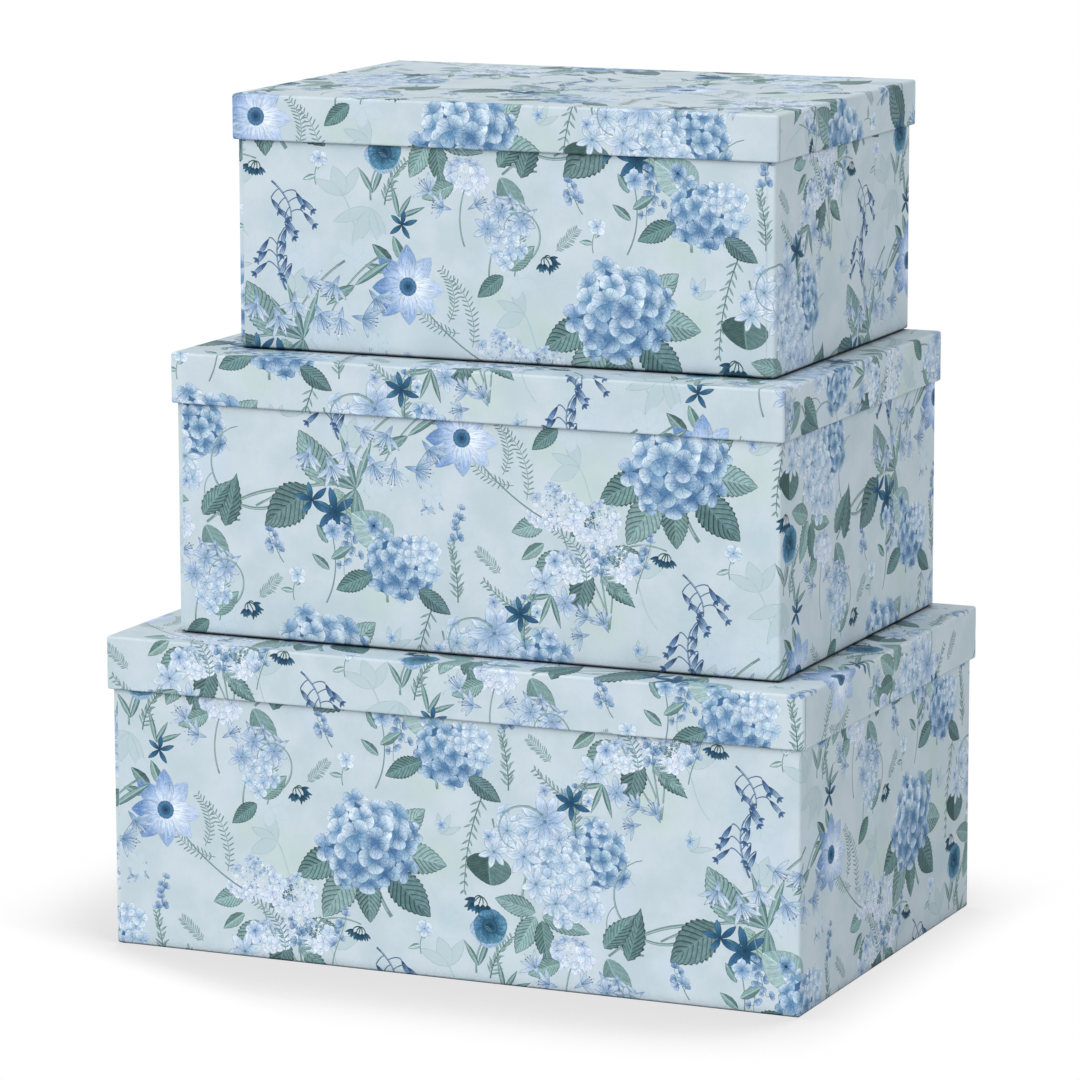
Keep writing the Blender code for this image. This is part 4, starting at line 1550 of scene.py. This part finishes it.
def tray(printed, paper, size, offset):
    box = Box(size + "_tray_wrap", TURN[size], below=UNDERSIDE)
    height = box.height
    section = Section((TURN_UNDER, UNDERSIDE), side=1)
    section.line(EDGE_RADIUS, UNDERSIDE)
    section.arc(EDGE_RADIUS, UNDERSIDE + EDGE_RADIUS, EDGE_RADIUS, -90, 0, 6)
    section.line(0.0, height - RIM_RADIUS)
    section.arc(RIM_RADIUS, height - RIM_RADIUS, RIM_RADIUS, 0, 90, 4)
    section.line(TRAY_INSIDE - INNER_RADIUS, height)
    section.arc(TRAY_INSIDE - INNER_RADIUS, height - INNER_RADIUS, INNER_RADIUS, 90, 180, 3)
    section.line(TRAY_INSIDE, height - TURN_IN)
    zero = section.folds[0]          # the sheet's y = 0 is where the base starts to bend

    def place_with(raised):
        return lambda p: box.wrap(p[:, 0], section(p[:, 1] + zero),
                                  seam_lift(p[:, 0], raised, height=0.13, reach=9.0))

    bottom, top = -BASE_SHOWN, section.folds[-1] - zero - TURN_IN + INSIDE_SHOWN
    folds_y = [f - zero for f in section.folds[:-1] if bottom < f - zero < top]
    raised = [(SEAM_START, 1)]
    front_end = right_start = box.right
    if size == "small":
        front_end = box.len_x - SMALL_SHORT
        right_start = front_end - SEAM_OVERLAP
        raised.append((front_end, -1))
    sheets = []
    for where, s0, s1, raised in (
            ("front", SEAM_START, front_end, raised), ("right", right_start, box.back, ()),
            ("back", box.back, box.left, ()),
            ("left", box.left, box.total + SEAM_START + SEAM_OVERLAP, ())):
        edges = [(e - 0.3, -99, e + 0.16, 999) if way > 0 else (e - 0.16, -99, e + 0.3, 999)
                 for e, way in raised]
        folds_x = box.corner_folds(s0, s1)
        folds_x += [e + way * k for e, way in raised for k in (0.16, 3.0, 6.0, 9.0)]
        sheets.append(sheet_mesh("%s_tray_paper_%s" % (size, where), printed,
                                 (s0, bottom, s1, top), offset, place_with(raised),
                                 folds_x, folds_y, edge=edges))
    # the hidden ends of the strip: under the base and down inside the walls
    for where, y0, y1 in (("turned_under", -zero, bottom),
                          ("turned_in", top, section.length - zero)):
        sheets.append(sheet_mesh("%s_tray_paper_%s" % (size, where), printed,
                                 (0.0, y0, box.total, y1), offset, place_with(()),
                                 box.corner_folds(0.0, box.total), plain=True))
    hand_over(sheets, size + "_box", size + "_tray_wrap", paper)


# lid sheets, mm
CORNER_LAP = 5.0         # long sides run this far past the corner
SHORT_GAP = 0.6          # short sides stop this far before the corner
LID_INSIDE_SHOWN = 6.0   # printed this far up inside


def lid_top_bend(box):
    """Bends the flat top over its four rounded edges and four corners."""
    half_x, half_y = box.len_x / 2, box.len_y / 2

    def bend(p):
        u, v = p[:, 0], p[:, 1]
        du = np.maximum(np.abs(u) - half_x, 0.0)
        dv = np.maximum(np.abs(v) - half_y, 0.0)
        rho = np.maximum(du, dv)
        # corner squares become quarter discs
        with np.errstate(divide="ignore", invalid="ignore"):
            phi = np.where(du >= dv, math.pi / 4 * np.where(du > 0, dv / du, 0.0),
                           math.pi / 2 - math.pi / 4 * np.where(dv > 0, du / dv, 0.0))
        a = rho / CORNER_RADIUS
        ox = np.where(du > 0, np.cos(phi) * np.sign(u), 0.0)
        oy = np.where(dv > 0, np.sin(phi) * np.sign(v), 0.0)
        x = np.clip(u, -half_x, half_x) + ox * np.sin(a) * CORNER_RADIUS
        y = np.clip(v, -half_y, half_y) + oy * np.sin(a) * CORNER_RADIUS
        z = box.height - EDGE_RADIUS + np.cos(a) * EDGE_RADIUS
        normal = np.stack([ox * np.sin(a), oy * np.sin(a), np.cos(a)], 1)
        normal[rho <= 0] = (0, 0, 1)
        return box.set_down(np.stack([x, y, z], 1), normal)

    return bend


def lid(printed, paper, size, offset):
    box = Box(size + "_lid_wrap", TURN[size])
    lx, ly = box.len_x, box.len_y
    flat_x, flat_y = lx / 2 + CORNER_ARC, ly / 2 + CORNER_ARC    # flat sheet to the bend's end
    name = size + "_lid_paper_"
    top_folds = [[s * (length / 2 + CORNER_ARC * k / 6) for s in (-1, 1) for k in range(6)]
                 for length in (lx, ly)]
    sheets = [sheet_mesh(name + "top", printed, (-flat_x, -flat_y, flat_x, flat_y), offset,
                         lid_top_bend(box), *top_folds)]

    # rims: down from where the top's bend ends, under the rim and up inside
    section = Section((0.0, box.height - EDGE_RADIUS), side=-1)
    section.line(0.0, RIM_RADIUS)
    section.arc(RIM_RADIUS, RIM_RADIUS, RIM_RADIUS, 0, -90, 4)
    section.line(LID_INSIDE - INNER_RADIUS, 0.0)
    section.arc(LID_INSIDE - INNER_RADIUS, INNER_RADIUS, INNER_RADIUS, -90, -180, 3)
    section.line(LID_INSIDE, LID_TURN_IN)

    def rim_place(along, down, raised=()):
        """along(p): distance round the lid; down(p): distance down the rim."""
        return lambda p: box.wrap(along(p), section(down(p)),
                                  seam_lift(along(p), raised, height=0.12, reach=7.0))

    depth = section.length - LID_TURN_IN + LID_INSIDE_SHOWN
    cuts = [f for f in section.folds[:-1] if f < depth]
    # long sides wrap the corners by a few millimetres; short sides stop just short of them
    end_x = lx / 2 + (CORNER_ARC + CORNER_LAP)
    for where, sign, start in (("front", -1, 0.0), ("back", 1, box.back)):
        y0, y1 = sorted((sign * flat_y, sign * (flat_y + depth)))
        place = rim_place(lambda p: start + lx / 2 - sign * p[:, 0],
                          lambda p: sign * p[:, 1] - flat_y)
        sheets.append(sheet_mesh(
            name + where, printed, (-end_x, y0, end_x, y1), offset, place,
            [s * (lx / 2 + CORNER_ARC * k / 8) for s in (-1, 1) for k in range(9)],
            [sign * (flat_y + f) for f in cuts]))
    end_y = ly / 2 - SHORT_GAP
    edge = [(-999, end_y - 0.14, 999, end_y + 1), (-999, -end_y - 1, 999, -end_y + 0.14)]
    for where, sign, start in (("right", 1, box.right), ("left", -1, box.left)):
        x0, x1 = sorted((sign * flat_x, sign * (flat_x + depth)))
        place = rim_place(lambda p: start + ly / 2 + sign * p[:, 1],
                          lambda p: sign * p[:, 0] - flat_x,
                          ((start + SHORT_GAP, 1), (start + ly - SHORT_GAP, -1)))
        sheets.append(sheet_mesh(
            name + where, printed, (x0, -end_y, x1, end_y), offset, place,
            [sign * (flat_x + f) for f in cuts],
            [s * (end_y - k) for s in (-1, 1) for k in (0.14, 2.5, 5.0, 7.0)], edge=edge))
    # hidden part of the turn-in
    sheets.append(sheet_mesh(name + "turned_in", printed,
                             (0.0, depth, box.total, section.length), offset,
                             rim_place(lambda p: p[:, 0], lambda p: p[:, 1]),
                             box.corner_folds(0.0, box.total), plain=True))
    hand_over(sheets, size + "_lid", size + "_lid_wrap", paper)


ground_tints()
for group in GROUPS:
    place_group(*group)
single_funnel()
fill_open_ground()
botanical = Print()
for k, size in enumerate(("large", "medium", "small")):
    paper = printed_paper("printed_wrap_" + size)
    tray(botanical, paper, size, roll_offset(2 * k))
    lid(botanical, paper, size, roll_offset(2 * k + 1))

# ------------------------------------------------------------- plain pieces


def plain_paper(name, tint, rough):
    """Uncoated paper in its own colour."""
    material = start_material(name)
    co = node("TexCoord", output="Object")
    cloud = noise(co, scale=30.0, detail=3.0, rough=0.6, dims="3D")
    fibre = noise(co, scale=1900.0, detail=3.0, rough=0.65, dims="3D")
    speck = noise(co, scale=650.0, detail=1.0, rough=0.5, dims="3D")
    colour = mix(ink(*[v - 7 for v in tint]), ink(*[v + 4 for v in tint]),
                 step(cloud, 0.3, 0.7))
    colour = scale(colour, mad(fibre, 0.10, 0.95) * PAPER_GAIN)
    colour = mix(colour, scale(colour, 0.82), step(speck, 0.74, 0.80) * 0.6)
    normal = bump(fibre, strength=0.35, distance=0.00015)
    return finish(material, principled(colour, mad(fibre, 0.15, rough), normal, specular=0.25))


def recycled_board(name):
    """Grey board: layered pulp with dark and pale flecks."""
    material = start_material(name)
    co = node("TexCoord", output="Object")
    pulp = noise(co, scale=160.0, detail=5.0, rough=0.7, dims="3D")
    fleck = noise(co, scale=900.0, detail=2.0, rough=0.6, dims="3D")
    colour = mix(ink(134, 130, 122), ink(168, 163, 152), pulp)
    colour = mix(colour, ink(70, 70, 72), step(fleck, 0.66, 0.74) * 0.5)
    colour = mix(colour, ink(206, 202, 192), step(fleck, 0.34, 0.26) * 0.5)
    normal = bump(pulp, strength=0.5, distance=0.0002)
    return finish(material, principled(colour, mad(fleck, 0.1, 0.88), normal))


def gummed_tape(name):
    """Brown kraft stay tape with long fibres."""
    material = start_material(name)
    x, y, z = split(node("TexCoord", output="Object"))
    fibre = noise(vector(x * 1.0, y * 1.0, z * 0.12), scale=1500.0, detail=3.0, rough=0.6,
                  dims="3D")
    colour = mix(ink(176, 146, 110), ink(206, 178, 140), fibre)
    normal = bump(fibre, strength=0.4, distance=0.0001)
    return finish(material, principled(colour, mad(fibre, 0.2, 0.55), normal))


LINING_PAPER = plain_paper("lining_paper", (238, 237, 232), rough=0.75)
UNDER_PAPER = plain_paper("base_sheet_paper", (196, 212, 217), rough=0.6)
GREYBOARD = recycled_board("greyboard")
TAPE = gummed_tape("stay_tape")
for name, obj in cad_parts.items():
    if name.endswith("_wrap"):
        continue
    if name.endswith("_lining"):
        material = LINING_PAPER
    elif name.endswith("_base_sheet"):
        material = UNDER_PAPER
    else:
        material = TAPE if "_stay_" in name else GREYBOARD
    obj.data.materials.clear()
    obj.data.materials.append(material)

# --------------------------------------------------------------------- stage

FLOOR_HALF = 40.0
FLOOR_Z = -0.0003


def floor_material():
    """Lights as a matt floor; is seen as a paper-white glow with a painted soft contact shadow.
    """
    material = start_material("stage_floor")
    ray = node("LightPath")
    # the satin coat mirrors the dark end of the studio, not the sweep
    diffuse = node("BsdfDiffuse", {"Color": mix((0.68, 0.70, 0.715), (0.10, 0.11, 0.115),
                                                ray["Is Glossy Ray"])})
    near = occlusion(samples=12, distance=0.13)
    x, y, _ = split(node("NewGeometry", output="Position"))
    # the painted shadow is short beside the boxes and runs out towards the left
    ahead = CAD_LOW[1] - y
    along = mad(ahead, -0.444, x - CAD_LOW[0])
    left = step(mad(along, -0.6, ahead + 0.012), 0.0, 0.055)
    beside = at_least(step(x, CAD_HIGH[0] - 0.014, CAD_HIGH[0] + 0.042), left)
    # painted shadow: the glow that the camera sees is dimmed near the boxes
    shade = mad(at_least(step(near, 0.66, 0.95), beside), 0.245, 0.758)
    glow = node("Emission", {"Color": (1, 1, 1), "Strength": shade})
    return finish(material, node("MixShader", {0: ray["Is Camera Ray"], 1: diffuse, 2: glow}))


def floor():
    mesh = bpy.data.meshes.new("stage_floor")
    corners = [(x * FLOOR_HALF, y * FLOOR_HALF, FLOOR_Z)
               for x, y in ((-1, -1), (1, -1), (1, 1), (-1, 1))]
    mesh.from_pydata(corners, [], [(0, 1, 2, 3)])
    mesh.materials.append(floor_material())
    obj = bpy.data.objects.new("stage_floor", mesh)
    bpy.context.scene.collection.objects.link(obj)
    obj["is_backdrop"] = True


def sun(name, direction, strength, angle):
    """A very soft distant light; direction points from the object to the light."""
    data = bpy.data.lights.new(name, "SUN")
    data.energy = strength
    data.angle = math.radians(angle)
    data.color = (1, 1, 1)
    obj = bpy.data.objects.new(name, data)
    obj.rotation_euler = Vector(direction).to_track_quat("Z", "Y").to_euler()
    bpy.context.scene.collection.objects.link(obj)
    obj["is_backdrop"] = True


def studio_world():
    global tree
    world = bpy.data.worlds.new("stage_world")
    world.use_nodes = True
    bpy.context.scene.world = world
    tree = world.node_tree
    ray = node("LightPath")
    sky, backdrop = 0.66, 1.1        # strength for lighting, and as the camera sees it
    level = mix_number(sky, backdrop, ray["Is Camera Ray"])
    # what the satin coat mirrors: a bright strip low behind the boxes, a dim room elsewhere
    toward = node("VectorMath", {0: node("TexCoord", output="Generated"),
                                 1: (-0.40, 0.90, 0.18)}, "Value", operation="DOT_PRODUCT")
    strip = node("MapRange", {"Value": toward, "From Min": 0.3, "From Max": 0.9,
                              "To Min": 0.38, "To Max": 0.72})
    background = tree.nodes["Background"]
    put(background.inputs["Color"],
        mix((0.965, 0.995, 1.01), (1, 1, 1), ray["Is Camera Ray"]))
    put(background.inputs["Strength"], mix_number(level, strip, ray["Is Glossy Ray"]))


# camera: from the front right, a little above the boxes
AZIMUTH, ELEVATION, ROLL = (math.radians(a) for a in (-23.852, 10.195, -0.151))
EYE = Vector((1.17375, -2.66380, 0.73743))


def add_camera():
    lens = bpy.data.cameras.new("camera")
    lens.sensor_width = 36.0
    lens.lens = 182.29
    lens.clip_start = 0.05
    lens.clip_end = 200.0
    camera = bpy.data.objects.new("camera", lens)
    bpy.context.scene.collection.objects.link(camera)
    ahead = Vector((math.sin(AZIMUTH) * math.cos(ELEVATION),
                    math.cos(AZIMUTH) * math.cos(ELEVATION), -math.sin(ELEVATION)))
    right = Vector((math.cos(AZIMUTH), -math.sin(AZIMUTH), 0.0))
    up = right.cross(ahead)
    rolled_right = right * math.cos(ROLL) + up * math.sin(ROLL)
    rolled_up = up * math.cos(ROLL) - right * math.sin(ROLL)
    pose = Matrix((rolled_right, rolled_up, -ahead)).transposed().to_4x4()
    pose.translation = EYE
    camera.matrix_world = pose
    camera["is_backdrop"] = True
    bpy.context.scene.camera = camera


floor()
sun("stage_key", direction=(-0.38, -0.71, 0.67), strength=1.58, angle=50)
sun("stage_fill", direction=(0.92, -0.12, 0.26), strength=0.42, angle=60)
studio_world()
add_camera()
view = bpy.context.scene.view_settings
view.view_transform = "Standard"
view.look = "None"
